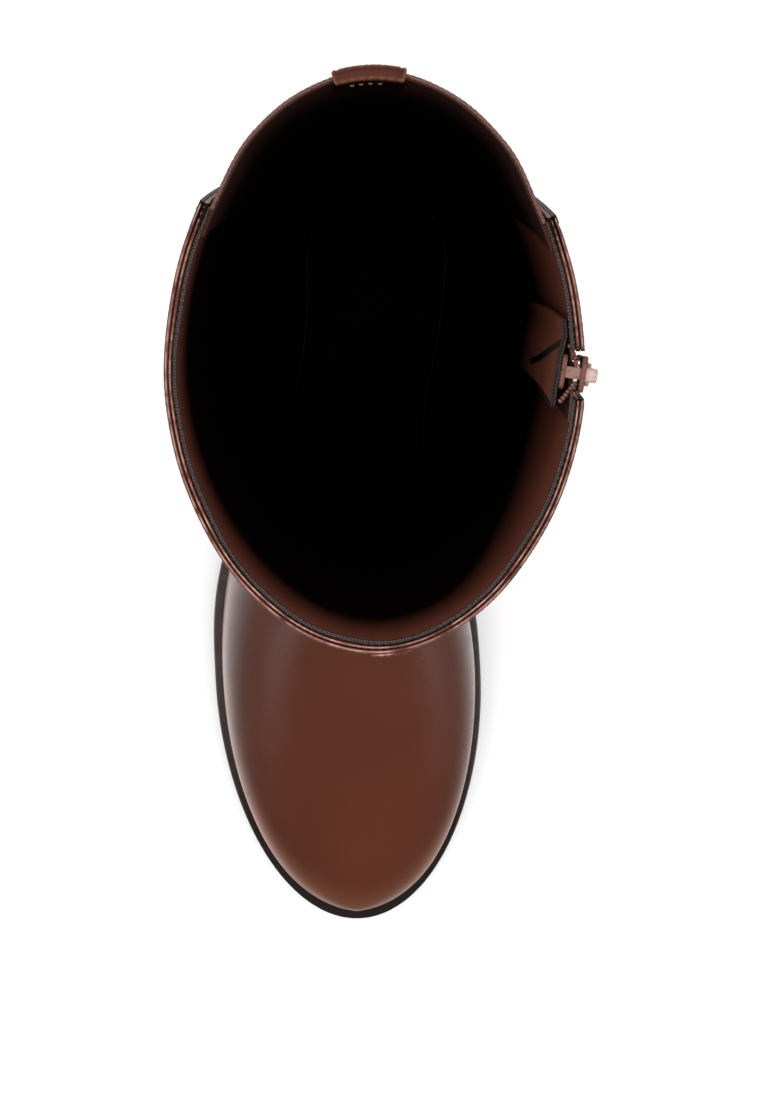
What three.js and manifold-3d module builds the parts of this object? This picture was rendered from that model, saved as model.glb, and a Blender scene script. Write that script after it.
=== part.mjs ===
// Knee-high leather boot, right foot: low heel, inner-side zip, elastic gore at the back of the shaft.
// Millimetres. +Z is up, the toe points to -Y and the inner side of the foot is +X.
// The origin is on the floor under the middle of the heel.

import * as THREE from 'three';
import { mergeVertices } from 'three/addons/utils/BufferGeometryUtils.js';
import Module from 'manifold-3d';

const wasm = await Module();
wasm.setup();

// ---------- driving sizes ----------

const BOOT_HEIGHT = 400;
const TOE_TIP = 238;          // forward of the origin
const BALL_LINE = 150;        // forward place where the toe's half ellipse begins
const BALL_HALF_WIDTH = 48.2;
const BALL_CENTRE = -10.5;    // the sole swings to the outer side at the ball
const TOE_CENTRE = -7.3;
const HEEL_RADIUS = 31;
const HEEL_BLOCK_HEIGHT = 24;
const OUTSOLE_FRONT_THICKNESS = 8;
const OUTSOLE_BACK_THICKNESS = 5;
const TOE_SPRING = 8.5;
const TOE_SPRING_POWER = 1.8; // above 1, so that the toe leaves the floor gently
const FLAT_FRONT = 178;       // the forefoot touches the floor between these two places
const FLAT_BACK = 112;
const HEEL_BREAST = 34;       // forward place of the heel's front face
const ARCH_END = HEEL_BREAST + 4; // forward place where the arch has reached the heel's height
const WALL = 2.2;             // leather and lining together
const GAP = 0.3;              // between pieces that meet
const NUDGE = 1e-3;           // a step small enough to measure a direction
const PROBE = 0.01;           // half of the step of u over which widths are measured
const WELD = 1000;            // points are welded when they agree to one part in this of a millimetre

// ---------- small helpers ----------

const QUARTER = Math.PI / 2;
const mix = THREE.MathUtils.lerp;
const UP = new THREE.Vector3(0, 0, 1);

// A point that is `forward` of the origin, towards the toe.
const at = (x, forward, z) => new THREE.Vector3(x, -forward, z);

// Numbers from `from` to `to` in equal steps, both ends included.
function steps(from, to, count) {
  return Array.from({ length: count + 1 }, (_, i) => mix(from, to, i / count));
}

// Natural cubic spline through one named column of a table.
function spline(rows, along, column) {
  const x = rows.map((row) => row[along]);
  const y = rows.map((row) => row[column]);
  const last = x.length - 1;
  const bend = new Array(last + 1).fill(0);
  const work = new Array(last + 1).fill(0);
  for (let i = 1; i < last; i++) {
    const span = x[i + 1] - x[i - 1];
    const share = (x[i] - x[i - 1]) / span;
    const pivot = share * bend[i - 1] + 2;
    const turn = (y[i + 1] - y[i]) / (x[i + 1] - x[i]) - (y[i] - y[i - 1]) / (x[i] - x[i - 1]);
    bend[i] = (share - 1) / pivot;
    work[i] = ((6 * turn) / span - share * work[i - 1]) / pivot;
  }
  for (let i = last - 1; i > 0; i--) {
    bend[i] = bend[i] * bend[i + 1] + work[i];
  }
  return (value) => {
    let i = 0;
    while (i < last - 1 && value > x[i + 1]) i++;
    const width = x[i + 1] - x[i];
    const b = (value - x[i]) / width;
    const a = 1 - b;
    const cubic = (a * a * a - a) * bend[i] + (b * b * b - b) * bend[i + 1];
    return a * y[i] + b * y[i + 1] + (cubic * width * width) / 6;
  };
}

// ---------- the sole's outline and profile ----------

// `along` is the distance round the sole's edge from the toe tip: past the ball, past the straight
// side of the heel to the middle of its back, and from there on up the back seam to the collar.
const BALL_AT = 113;
const HEEL_AT = BALL_AT + BALL_LINE;
const SEAM_AT = HEEL_AT + 44;
const HEEL_SEAT = HEEL_BLOCK_HEIGHT + OUTSOLE_BACK_THICKNESS;
const COLLAR_AT = SEAM_AT + BOOT_HEIGHT - HEEL_SEAT;

// Edge of the sole between the ball and the heel.
const WAIST = [
  { forward: 0, lateral: -31, medial: 31 },
  { forward: 28, lateral: -32.2, medial: 29.2 },
  { forward: 55, lateral: -37.8, medial: 24.6 },
  { forward: 80, lateral: -46.4, medial: 25.8 },
  { forward: 105, lateral: -55.2, medial: 30.6 },
  { forward: 128, lateral: -59.0, medial: 35.8 },
  { forward: 150, lateral: -58.7, medial: 37.7 },
];
const waistLateral = spline(WAIST, 'forward', 'lateral');
const waistMedial = spline(WAIST, 'forward', 'medial');

// Point of the outline on one side (-1 outer, +1 inner), moved in by `inset`.
function soleEdge(along, side, inset) {
  if (along <= BALL_AT) {
    const angle = (along / BALL_AT) * QUARTER;
    const centre = mix(BALL_CENTRE, TOE_CENTRE, Math.cos(angle));
    const forward = BALL_LINE + (TOE_TIP - BALL_LINE - inset) * Math.cos(angle);
    return { x: centre + side * (BALL_HALF_WIDTH - inset) * Math.sin(angle), forward };
  }
  if (along <= HEEL_AT) {
    const forward = HEEL_AT - along;
    const edge = side < 0 ? waistLateral(forward) : waistMedial(forward);
    return { x: edge - side * inset, forward };
  }
  const angle = ((along - HEEL_AT) / (SEAM_AT - HEEL_AT)) * QUARTER;
  const radius = HEEL_RADIUS - inset;
  return { x: side * radius * Math.cos(angle), forward: -radius * Math.sin(angle) };
}

// Underside of the outsole: flat at the forefoot, rising to the toe and over the arch to the heel.
function underside(forward) {
  if (forward > FLAT_FRONT) {
    return TOE_SPRING * ((forward - FLAT_FRONT) / (TOE_TIP - FLAT_FRONT)) ** TOE_SPRING_POWER;
  }
  const rise = THREE.MathUtils.smoothstep(FLAT_BACK - forward, 0, FLAT_BACK - ARCH_END);
  return HEEL_BLOCK_HEIGHT * rise;
}

// Top of the outsole, on which the upper, welt and insole stand.
function seat(forward) {
  const back = THREE.MathUtils.smoothstep(FLAT_BACK - forward, 0, FLAT_BACK - ARCH_END);
  return underside(forward) + mix(OUTSOLE_FRONT_THICKNESS, OUTSOLE_BACK_THICKNESS, back);
}

// ---------- the upper's outer surface ----------

// Width of the welt's step outside the upper.
const STEP = [
  { along: 0, lateral: 4.6, medial: 4.6 },
  { along: 57, lateral: 4.0, medial: 5.0 },
  { along: 113, lateral: 3.6, medial: 5.2 },
  { along: 188, lateral: 3.9, medial: 5.1 },
  { along: 225, lateral: 4.3, medial: 5.6 },
  { along: 263, lateral: 4.2, medial: 4.3 },
  { along: 307, lateral: 3.8, medial: 3.8 },
];
const stepLateral = spline(STEP, 'along', 'lateral');
const stepMedial = spline(STEP, 'along', 'medial');

// Every section lies in a plane across the boot, from a point on the front ridge down to the point
// `along` the edge. It is widest at `share` of the way, and its two quarters are superellipses.
const SECTIONS = [
  { along: 0, ridgeForward: 233, ridgeHeight: 28, halfWidth: 0, share: 0.72, top: 2.1, low: 2.0 },
  { along: 12, ridgeForward: 231.4, ridgeHeight: 33, halfWidth: 8, share: 0.73, top: 2.1, low: 2.0 },
  { along: 28, ridgeForward: 225.5, ridgeHeight: 38.6, halfWidth: 17.9, share: 0.75, top: 2.15, low: 2.0 },
  { along: 57, ridgeForward: 208, ridgeHeight: 46.5, halfWidth: 32.4, share: 0.76, top: 2.2, low: 2.0 },
  { along: 85, ridgeForward: 181, ridgeHeight: 54.5, halfWidth: 41.7, share: 0.77, top: 2.2, low: 2.0 },
  { along: 113, ridgeForward: 152, ridgeHeight: 63, halfWidth: 45.0, share: 0.78, top: 2.15, low: 2.0 },
  { along: 150, ridgeForward: 131, ridgeHeight: 71, halfWidth: 42.0, share: 0.76, top: 2.1, low: 1.9 },
  { along: 188, ridgeForward: 117, ridgeHeight: 79.5, halfWidth: 35.5, share: 0.7, top: 2.05, low: 1.8 },
  { along: 225, ridgeForward: 106, ridgeHeight: 89, halfWidth: 33, share: 0.62, top: 2.0, low: 1.75 },
  { along: 263, ridgeForward: 97, ridgeHeight: 99, halfWidth: 33, share: 0.56, top: 2.0, low: 1.75 },
  { along: 285, ridgeForward: 91.5, ridgeHeight: 108, halfWidth: 33, share: 0.53, top: 2.0, low: 1.8 },
  { along: 296, ridgeForward: 89, ridgeHeight: 113.3, halfWidth: 33, share: 0.515, top: 2.0, low: 1.9 },
  { along: 307, ridgeForward: 86.5, ridgeHeight: 119, halfWidth: 33.1, share: 0.5, top: 2.0, low: 2.35 },
  { along: 344, ridgeForward: 81.5, ridgeHeight: 138, halfWidth: 34.1, share: 0.49, top: 2.0, low: 2.25 },
  { along: 381, ridgeForward: 79, ridgeHeight: 158, halfWidth: 35.9, share: 0.49, top: 2.0, low: 2.15 },
  { along: 418, ridgeForward: 78.5, ridgeHeight: 180, halfWidth: 38.6, share: 0.49, top: 2.0, low: 2.0 },
  { along: 492, ridgeForward: 80.5, ridgeHeight: 231, halfWidth: 43, share: 0.485, top: 1.95, low: 2.0 },
  { along: 584, ridgeForward: 88.5, ridgeHeight: 313, halfWidth: 48, share: 0.48, top: 1.92, low: 2.0 },
  { along: 678, ridgeForward: 99.3, ridgeHeight: 400, halfWidth: 51, share: 0.475, top: 1.9, low: 2.0 },
];
const shape = {};
for (const column of ['ridgeForward', 'ridgeHeight', 'halfWidth', 'share', 'top', 'low']) {
  shape[column] = spline(SECTIONS, 'along', column);
}

// Back seam seen from the side.
const BACK_SEAM = [
  { height: HEEL_SEAT + GAP, forward: -27.2 },
  { height: 58, forward: -30.2 },
  { height: 90, forward: -28.6 },
  { height: 122, forward: -26 },
  { height: 180, forward: -27.6 },
  { height: 250, forward: -33.6 },
  { height: 330, forward: -40.6 },
  { height: 400, forward: -43.5 },
];
const backSeam = spline(BACK_SEAM, 'height', 'forward');
const RIDGE_SIDE_AT_TOE = TOE_CENTRE;
const RIDGE_SIDE_AT_BALL = -6;
const RIDGE_STRAIGHT_AT = SEAM_AT + 60;

// Sideways place of the front ridge.
function ridgeSide(along) {
  if (along < BALL_AT) return mix(RIDGE_SIDE_AT_TOE, RIDGE_SIDE_AT_BALL, along / BALL_AT);
  return mix(RIDGE_SIDE_AT_BALL, 0, THREE.MathUtils.smoothstep(along, BALL_AT, RIDGE_STRAIGHT_AT));
}

// Where a section ends: its middle, half width, forward place and height.
function sectionEnd(along) {
  if (along >= SEAM_AT) {
    const z = HEEL_SEAT + GAP + ((along - SEAM_AT) * (BOOT_HEIGHT - HEEL_SEAT - GAP)) / (COLLAR_AT - SEAM_AT);
    return { centre: 0, half: 0, forward: backSeam(z), z };
  }
  const lateral = soleEdge(along, -1, stepLateral(along));
  const medial = soleEdge(along, 1, stepMedial(along));
  const forward = (lateral.forward + medial.forward) / 2;
  const z = seat(forward) + GAP;
  return { centre: (lateral.x + medial.x) / 2, half: (medial.x - lateral.x) / 2, forward, z };
}

// Point of one section. `turn` runs from -1 at its outer end over 0 at the ridge to +1 at its
// inner end.
function sectionPoint(turn, along) {
  const end = sectionEnd(along);
  const widest = shape.halfWidth(along);
  const share = shape.share(along);
  const upperQuarter = Math.abs(turn) <= 0.5;
  const power = 2 / (upperQuarter ? shape.top(along) : shape.low(along));
  const angle = (upperQuarter ? Math.abs(turn) : Math.abs(turn) - 0.5) * Math.PI;
  const rising = Math.max(0, Math.sin(angle)) ** power;
  const falling = Math.max(0, Math.cos(angle)) ** power;
  const down = upperQuarter ? share * (1 - falling) : share + (1 - share) * rising;
  const width = upperQuarter ? widest * rising : end.half + (widest - end.half) * falling;
  return at(
    mix(ridgeSide(along), end.centre, down) + Math.sign(turn) * width,
    mix(shape.ridgeForward(along), end.forward, down),
    mix(shape.ridgeHeight(along), end.z, down),
  );
}

// The sections round the heel and those up the back seam are blended over this distance.
const BLEND_REACH = 20;
const BLEND_SPAN = 2.5 * BLEND_REACH;
const BLEND_EDGE_POWER = 6;   // keeps the blend away from the sections' ends
const BLEND_WEIGHTS = [1, 6, 15, 20, 15, 6, 1];

// Point of the outer surface: the section's point, evened out along the boot near the section
// through the heel's back, but not at the sole's edge. Past the back seam `u` comes round again.
function surface(u, along) {
  const turn = u > 1 ? u - 2 : u < -1 ? u + 2 : u;
  const nearness = Math.max(0, 1 - ((along - SEAM_AT) / BLEND_SPAN) ** 2);
  const reach = BLEND_REACH * nearness ** 2 * (1 - turn ** BLEND_EDGE_POWER);
  if (reach < NUDGE) return sectionPoint(turn, along);
  const total = BLEND_WEIGHTS.reduce((sum, weight) => sum + weight, 0);
  const middle = (BLEND_WEIGHTS.length - 1) / 2;
  const point = new THREE.Vector3();
  BLEND_WEIGHTS.forEach((weight, k) => {
    point.addScaledVector(sectionPoint(turn, along + ((k - middle) / middle) * reach), weight / total);
  });
  return point;
}

// Outward direction of the surface; level along the collar and along the edge that meets the sole.
function outward(u, along) {
  const before = Math.max(0, along - NUDGE);
  const after = Math.min(COLLAR_AT, along + NUDGE);
  const lengthwise = surface(u, after).sub(surface(u, before));
  if (Math.abs(u) === 1 && along <= SEAM_AT) {
    const forwards = surface(u, Math.min(SEAM_AT, after)).sub(surface(u, before));
    return new THREE.Vector3().crossVectors(forwards, UP).multiplyScalar(u).setZ(0).normalize();
  }
  const across = surface(u + NUDGE, along).sub(surface(u - NUDGE, along));
  const normal = new THREE.Vector3().crossVectors(across, lengthwise);
  if (along === 0) normal.setX(0);
  if (along === COLLAR_AT) normal.setZ(0);
  return normal.normalize();
}

// Point at a depth under the outer surface.
function under(u, along, depth) {
  return surface(u, along).addScaledVector(outward(u, along), -depth);
}

// ---------- from grids of points to closed bodies ----------

// Closed body between a front grid and a back grid; cells that `keep` refuses are left open, and
// every free edge gets a rim. Points that fall together are welded.
function closedBody(front, back, keep = () => true) {
  const known = new Map();
  const points = [];
  const behind = [];
  const index = front.map((row, i) => row.map((point, j) => {
    const key = point.toArray().map((value) => Math.round(value * WELD)).join();
    if (!known.has(key)) {
      known.set(key, points.length);
      points.push(point);
      behind.push(back[i][j]);
    }
    return known.get(key);
  }));
  const count = points.length;
  const faces = [];
  const addFace = (a, b, c) => {
    if (a !== b && b !== c && c !== a) faces.push([a, b, c]);
  };
  for (let i = 0; i + 1 < index.length; i++) {
    for (let j = 0; j + 1 < index[i].length; j++) {
      if (!keep(i, j)) continue;
      addFace(index[i][j], index[i][j + 1], index[i + 1][j + 1]);
      addFace(index[i][j], index[i + 1][j + 1], index[i + 1][j]);
    }
  }
  const edges = new Set(faces.flatMap(([a, b, c]) => [`${a},${b}`, `${b},${c}`, `${c},${a}`]));
  const triangles = [];
  for (const [a, b, c] of faces) {
    triangles.push(a, b, c, c + count, b + count, a + count);
    for (const [from, to] of [[a, b], [b, c], [c, a]]) {
      if (edges.has(`${to},${from}`)) continue;
      triangles.push(to, from, from + count, to, from + count, to + count);
    }
  }
  const geometry = new THREE.BufferGeometry();
  const positions = [...points, ...behind].flatMap((point) => point.toArray());
  geometry.setAttribute('position', new THREE.Float32BufferAttribute(positions, 3));
  geometry.setIndex(triangles);
  return geometry;
}

// Body under the boot's surface: `from(along)` and `to(along)` give its two edges as u.
function panel({ from, to, columns, start, end, rows, depthOut, depthIn }) {
  const grid = (depth) => steps(start, end, rows).map((along) => (
    steps(0, 1, columns).map((share) => (
      under(mix(from(along), to(along), share), along, depth(share, along))))
  ));
  return closedBody(grid(depthOut), grid(depthIn));
}

// ---------- panel lines of the shaft ----------

const ZIP_FOOT_AT = SEAM_AT;                 // the zip ends on the section through the heel's back
const GORE_FOOT_AT = SEAM_AT + 74;
const SLIT_HALF_WIDTH = 5.6;
const ZIP_LINE = { foot: 0.53, collar: 0.497 }; // u of the zip's middle at its two ends
const GORE_AT_COLLAR = { lateral: 0.69, medial: 0.672 };
const GORE_AT_FOOT = 0.893;

// Change of u for one millimetre across the boot.
function perMillimetre(u, along) {
  return (2 * PROBE) / surface(u + PROBE, along).distanceTo(surface(u - PROBE, along));
}

// u of a line that runs beside the zip at a distance in millimetres, positive towards the heel.
function zipLine(along, distance) {
  const place = Math.max(along, ZIP_FOOT_AT);
  const rise = (place - ZIP_FOOT_AT) / (COLLAR_AT - ZIP_FOOT_AT);
  const middle = mix(ZIP_LINE.foot, ZIP_LINE.collar, rise);
  return middle + distance * perMillimetre(middle, place);
}

// u of the gore's edge on one side.
function goreLine(along, side) {
  const place = Math.max(along, GORE_FOOT_AT);
  const top = side < 0 ? GORE_AT_COLLAR.lateral : GORE_AT_COLLAR.medial;
  return side * mix(GORE_AT_FOOT, top, (place - GORE_FOOT_AT) / (COLLAR_AT - GORE_FOOT_AT));
}

// ---------- upper ----------

const COLUMNS = { gore: 5, lateralSide: 10, medialFront: 5, slit: 2, medialBack: 3 };
const HALF_COLUMNS = COLUMNS.gore + COLUMNS.lateralSide;
const ROWS = [
  ...steps(0, BALL_AT, 9),
  ...steps(BALL_AT, HEEL_AT, 12).slice(1),
  ...steps(HEEL_AT, SEAM_AT, 6).slice(1),
  ...steps(SEAM_AT, GORE_FOOT_AT, 3).slice(1),
  ...steps(GORE_FOOT_AT, COLLAR_AT, 11).slice(1),
];

// The section's columns follow the panel lines in the shaft and are evenly spread in the foot.
function columnPlaces(along) {
  const lines = [
    ...steps(-1, goreLine(along, -1), COLUMNS.gore),
    ...steps(goreLine(along, -1), 0, COLUMNS.lateralSide).slice(1),
    ...steps(0, zipLine(along, -SLIT_HALF_WIDTH), COLUMNS.medialFront).slice(1),
    ...steps(zipLine(along, -SLIT_HALF_WIDTH), zipLine(along, SLIT_HALF_WIDTH), COLUMNS.slit).slice(1),
    ...steps(zipLine(along, SLIT_HALF_WIDTH), goreLine(along, 1), COLUMNS.medialBack).slice(1),
    ...steps(goreLine(along, 1), 1, COLUMNS.gore).slice(1),
  ];
  const inShaft = THREE.MathUtils.smoothstep(along, BALL_AT, SEAM_AT);
  return lines.map((line, i) => mix(i / HALF_COLUMNS - 1, line, inShaft));
}

function upperBody() {
  const front = ROWS.map((along) => columnPlaces(along).map((u) => surface(u, along)));
  const back = ROWS.map((along) => columnPlaces(along).map((u) => under(u, along, WALL)));
  const slitStart = HALF_COLUMNS + COLUMNS.medialFront;
  const slitEnd = slitStart + COLUMNS.slit;
  const keep = (i, j) => {
    const inGore = ROWS[i] >= GORE_FOOT_AT - NUDGE
      && (j < COLUMNS.gore || j >= 2 * HALF_COLUMNS - COLUMNS.gore);
    const inSlit = ROWS[i] >= ZIP_FOOT_AT - NUDGE && j >= slitStart && j < slitEnd;
    return !inGore && !inSlit;
  };
  return closedBody(front, back, keep);
}

// ---------- sole, heel, welt and insole ----------

const SOLE_COLUMNS = 8;
const OUTSOLE_TAPER = 1.2;      // how far the sole's edge leans in towards the floor
const SOLE_ROWS = ROWS.filter((along) => along <= SEAM_AT + NUDGE);

// Grid of points over the sole's plan, each edge moved in by its inset.
function planGrid(rows, insetLateral, insetMedial, height) {
  return rows.map((along) => {
    const lateral = soleEdge(along, -1, insetLateral(along));
    const medial = soleEdge(along, 1, insetMedial(along));
    return steps(0, 1, SOLE_COLUMNS).map((share) => {
      const forward = mix(lateral.forward, medial.forward, share);
      return at(mix(lateral.x, medial.x, share), forward, height(forward));
    });
  });
}

// Slab between two levels, with an inset of its outline at the top and one at the bottom.
function soleSlab(rows, top, bottom) {
  const grid = ({ inset, height }) => planGrid(rows, () => inset, () => inset, height);
  return closedBody(grid(top), grid(bottom));
}

// Solid of a closed geometry, ready to be cut or joined.
function solid(geometry) {
  const bare = geometry.clone();
  bare.deleteAttribute('normal');
  bare.deleteAttribute('uv');
  const merged = mergeVertices(bare);
  return new wasm.Manifold(new wasm.Mesh({
    numProp: 3,
    vertProperties: new Float32Array(merged.attributes.position.array),
    triVerts: new Uint32Array(merged.index.array),
  }));
}

// Geometry of a solid.
function geometryOf(body) {
  const mesh = body.getMesh();
  const geometry = new THREE.BufferGeometry();
  geometry.setAttribute('position', new THREE.BufferAttribute(mesh.vertProperties, 3));
  geometry.setIndex(new THREE.BufferAttribute(mesh.triVerts, 1));
  return geometry;
}

// Box between two corners.
function box(low, high) {
  const size = new THREE.Vector3().subVectors(high, low);
  const middle = new THREE.Vector3().addVectors(low, high).multiplyScalar(0.5);
  return new THREE.BoxGeometry(size.x, Math.abs(size.y), size.z).translate(...middle.toArray());
}

const GROOVE = { width: 3, depth: 2.4, pitch: 12.5, margin: 9 };
const FOREFOOT_GROOVES = { first: 87.5, count: 11 };
const HEEL_GROOVES = [-18, -9, 9, 18];
const HEEL_GROOVE = { width: 2.4, depth: 1.8, margin: 7 };

// Groove across the underside at one forward place, stopping short of both edges.
function groove(forward, lateral, medial, level, size) {
  const half = size.width / 2;
  return solid(box(
    at(lateral + size.margin, forward + half, level - size.depth),
    at(medial - size.margin, forward - half, level + size.depth),
  ));
}

// Outline half width and middle at a forward place of the fore part.
function edgesAt(forward) {
  if (forward > BALL_LINE) {
    const reach = (forward - BALL_LINE) / (TOE_TIP - BALL_LINE);
    const half = BALL_HALF_WIDTH * Math.sqrt(1 - reach * reach);
    const centre = mix(BALL_CENTRE, TOE_CENTRE, reach);
    return { lateral: centre - half, medial: centre + half };
  }
  return { lateral: waistLateral(forward), medial: waistMedial(forward) };
}

function outsoleBody() {
  let body = solid(soleSlab(
    SOLE_ROWS,
    { inset: 0, height: seat },
    { inset: OUTSOLE_TAPER, height: underside },
  ));
  for (let k = 0; k < FOREFOOT_GROOVES.count; k++) {
    const forward = FOREFOOT_GROOVES.first + k * GROOVE.pitch;
    const { lateral, medial } = edgesAt(forward);
    body = body.subtract(groove(forward, lateral, medial, underside(forward), GROOVE));
  }
  return geometryOf(body);
}

const TOP_PIECE_HEIGHT = 7;
const HEEL_ROWS = [
  ...steps(HEEL_AT - HEEL_BREAST, HEEL_AT, 3),
  ...steps(HEEL_AT, SEAM_AT, 6).slice(1),
];
const HEEL_TAPER = { top: 0.8, joint: 2.0, floor: 2.6 };

function heelBody() {
  return soleSlab(
    HEEL_ROWS,
    { inset: HEEL_TAPER.top, height: () => HEEL_BLOCK_HEIGHT - GAP },
    { inset: HEEL_TAPER.joint, height: () => TOP_PIECE_HEIGHT },
  );
}

function topPieceBody() {
  let body = solid(soleSlab(
    HEEL_ROWS,
    { inset: HEEL_TAPER.joint, height: () => TOP_PIECE_HEIGHT - GAP },
    { inset: HEEL_TAPER.floor, height: () => 0 },
  ));
  for (const forward of HEEL_GROOVES) {
    const half = Math.sqrt(HEEL_RADIUS ** 2 - Math.min(0, forward) ** 2);
    body = body.subtract(groove(forward, -half, half, 0, HEEL_GROOVE));
  }
  return geometryOf(body);
}

const WELT_HEIGHT = 2.4;
const WELT_INSET = { bottom: 0.4, top: 0.8 };
const WELT_CLEARANCE = 2 * GAP;
const BULGE_WINDOW = { height: 5.4, side: 9 }; // part of the upper that the welt keeps clear of

// Closed tube of sections that come round to the first one again.
function closedLoop(sections) {
  const points = sections.flat();
  const round = sections[0].length;
  const triangles = [];
  for (let i = 0; i < sections.length; i++) {
    for (let j = 0; j < round; j++) {
      const next = (i + 1) % sections.length;
      const beside = (j + 1) % round;
      const [a, b] = [i * round + j, i * round + beside];
      const [c, d] = [next * round + beside, next * round + j];
      triangles.push(a, b, c, a, c, d);
    }
  }
  const geometry = new THREE.BufferGeometry();
  const positions = points.flatMap((point) => point.toArray());
  geometry.setAttribute('position', new THREE.Float32BufferAttribute(positions, 3));
  geometry.setIndex(triangles);
  return geometry;
}

// How far the upper bulges out over its own lower edge, near one point of that edge.
function bulgeOver(edge, normal, skin) {
  const sideways = new THREE.Vector3().crossVectors(UP, normal);
  const reaches = skin.map((point) => new THREE.Vector3().subVectors(point, edge))
    .filter((away) => away.z < BULGE_WINDOW.height && Math.abs(away.dot(sideways)) < BULGE_WINDOW.side)
    .map((away) => away.dot(normal) * Math.min(1, WELT_HEIGHT / Math.max(WELT_HEIGHT, away.z)));
  return Math.max(0, ...reaches);
}

// Strip round the foot on the sole's edge, with an upright inner face just clear of the upper.
function weltBody() {
  const skin = ROWS.flatMap((along) => columnPlaces(along).map((u) => surface(u, along)));
  const section = (along, side) => {
    const foot = surface(side, along);
    const normal = outward(side, along);
    const inner = foot.clone().addScaledVector(normal, bulgeOver(foot, normal, skin) + WELT_CLEARANCE);
    const outer = (inset, height) => {
      const edge = soleEdge(along, side, inset);
      return at(edge.x, edge.forward, seat(edge.forward) + GAP + height);
    };
    const innerTop = inner.clone().setZ(foot.z + WELT_HEIGHT);
    return [inner, innerTop, outer(WELT_INSET.top, WELT_HEIGHT), outer(WELT_INSET.bottom, 0)];
  };
  const lateral = [...SOLE_ROWS].reverse().map((along) => section(along, -1));
  const medial = SOLE_ROWS.slice(1, -1).map((along) => section(along, 1));
  return closedLoop([...lateral, ...medial]);
}

const INSOLE_THICKNESS = 3;
const INSOLE_CLEARANCE = 1.5 * GAP;

function insoleBody() {
  const inside = WALL + INSOLE_CLEARANCE;
  const grid = (height) => planGrid(
    SOLE_ROWS,
    (along) => stepLateral(along) + inside,
    (along) => stepMedial(along) + inside,
    (forward) => seat(forward) + GAP + height,
  );
  return closedBody(grid(INSOLE_THICKNESS), grid(0));
}

// ---------- gore and pull tab ----------

const GORE_DEPTH = { out: WALL + 0.6, in: WALL + 2.0 };
const GORE_OVERLAP = 8;
const GORE_BULGE = 1.2;         // how far the gore's middle stands out from its sewn edges
const BULGE_RAMP = { start: 0.07, end: 0.2 };
const BULGE_RISE = { start: GORE_FOOT_AT + 60, end: COLLAR_AT - 60 };
const GORE_SINK = { depth: 0.8, start: SEAM_AT, end: GORE_FOOT_AT + 90 };
const TOP_CLEARANCE = 1;        // of the gore and the zip's tapes under the collar's edge
const TAB_HALF_WIDTH = 9.4;
const TAB_SIDE = -1.4;         // the tab sits a little to the outer side of the seam
const TAB_THICKNESS = 1.0;
const TAB_DEPTH = { out: 0.3, in: GORE_DEPTH.in - GORE_BULGE + GAP + TAB_THICKNESS };
const TAB_LEGS = { out: 30, in: 26 };

// The gore lies a little deeper towards its narrow foot, where the leather bends most.
function goreBody() {
  const { smoothstep } = THREE.MathUtils;
  const footDepth = (along) => (
    GORE_SINK.depth * (1 - smoothstep(along, GORE_SINK.start, GORE_SINK.end)));
  const bulge = (share, along) => (
    GORE_BULGE * smoothstep(Math.min(share, 1 - share), BULGE_RAMP.start, BULGE_RAMP.end)
      * smoothstep(along, BULGE_RISE.start, BULGE_RISE.end));
  const edge = (along, side) => {
    const line = goreLine(along, side);
    return Math.abs(line) - GORE_OVERLAP * perMillimetre(line, along);
  };
  return panel({
    from: (along) => edge(along, 1),
    to: (along) => 2 - edge(along, -1),
    columns: 12,
    start: GORE_FOOT_AT - GORE_OVERLAP,
    end: COLLAR_AT - TOP_CLEARANCE,
    rows: 12,
    depthOut: (share, along) => GORE_DEPTH.out + footDepth(along) - bulge(share, along),
    depthIn: (share, along) => GORE_DEPTH.in + footDepth(along) - bulge(share, along),
  });
}

// Strip folded over the gore's top edge: down the outside, over the top, down the inside.
function pullTabBody() {
  const middle = (TAB_DEPTH.out + TAB_DEPTH.in) / 2;
  const radius = (TAB_DEPTH.in - TAB_DEPTH.out) / 2;
  const skin = (cut) => steps(-1, 1, 6).map((across) => {
    const place = 1 - (TAB_SIDE + across * TAB_HALF_WIDTH) * perMillimetre(1, COLLAR_AT);
    const legOut = steps(TAB_LEGS.out, 0, 2).map((drop) => (
      under(place, COLLAR_AT - drop, TAB_DEPTH.out + cut)));
    const crown = steps(0, Math.PI, 6).slice(1, -1).map((angle) => (
      under(place, COLLAR_AT, middle - (radius - cut) * Math.cos(angle))
        .addScaledVector(UP, (radius - cut) * Math.sin(angle))));
    const legIn = steps(0, TAB_LEGS.in, 2).map((drop) => (
      under(place, COLLAR_AT - drop, TAB_DEPTH.in - cut)));
    return [...legOut, ...crown, ...legIn];
  });
  return closedBody(skin(0), skin(TAB_THICKNESS));
}

// ---------- zip ----------

const TAPE = { near: 3.7, far: 11.5, out: WALL + 0.5, in: WALL + 1.2, tail: 8 };
const CHAIN = { halfWidth: 2.7, out: 1.3, in: WALL + 1.2, crown: 0.9, start: 3, slack: 0.5 };
const SLIDER = {
  drop: 9, halfHeight: 6, halfWidth: 4.5, out: 0.5, plate: 1.3, inner: -4.4, footShare: 0.72,
  cornerShare: 0.35, crownHalfWidth: 1.75,
};
const POST = { halfWidth: 1.3, low: 0.5, high: 5, root: 0.2 };
const INNER_PLATE_INSET = { side: 0.2, end: 0.5 };
const SLIDER_TURN = THREE.MathUtils.degToRad(-9); // the slider faces a little towards the toe
const GUARD = {
  back: 9.5, front: -8, start: 3.8, clear: 5.7, free: 8.2, thickness: 1, turn: 0.75, tail: 4, drop: 3,
};
const ZIP_ROWS = 22;

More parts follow.
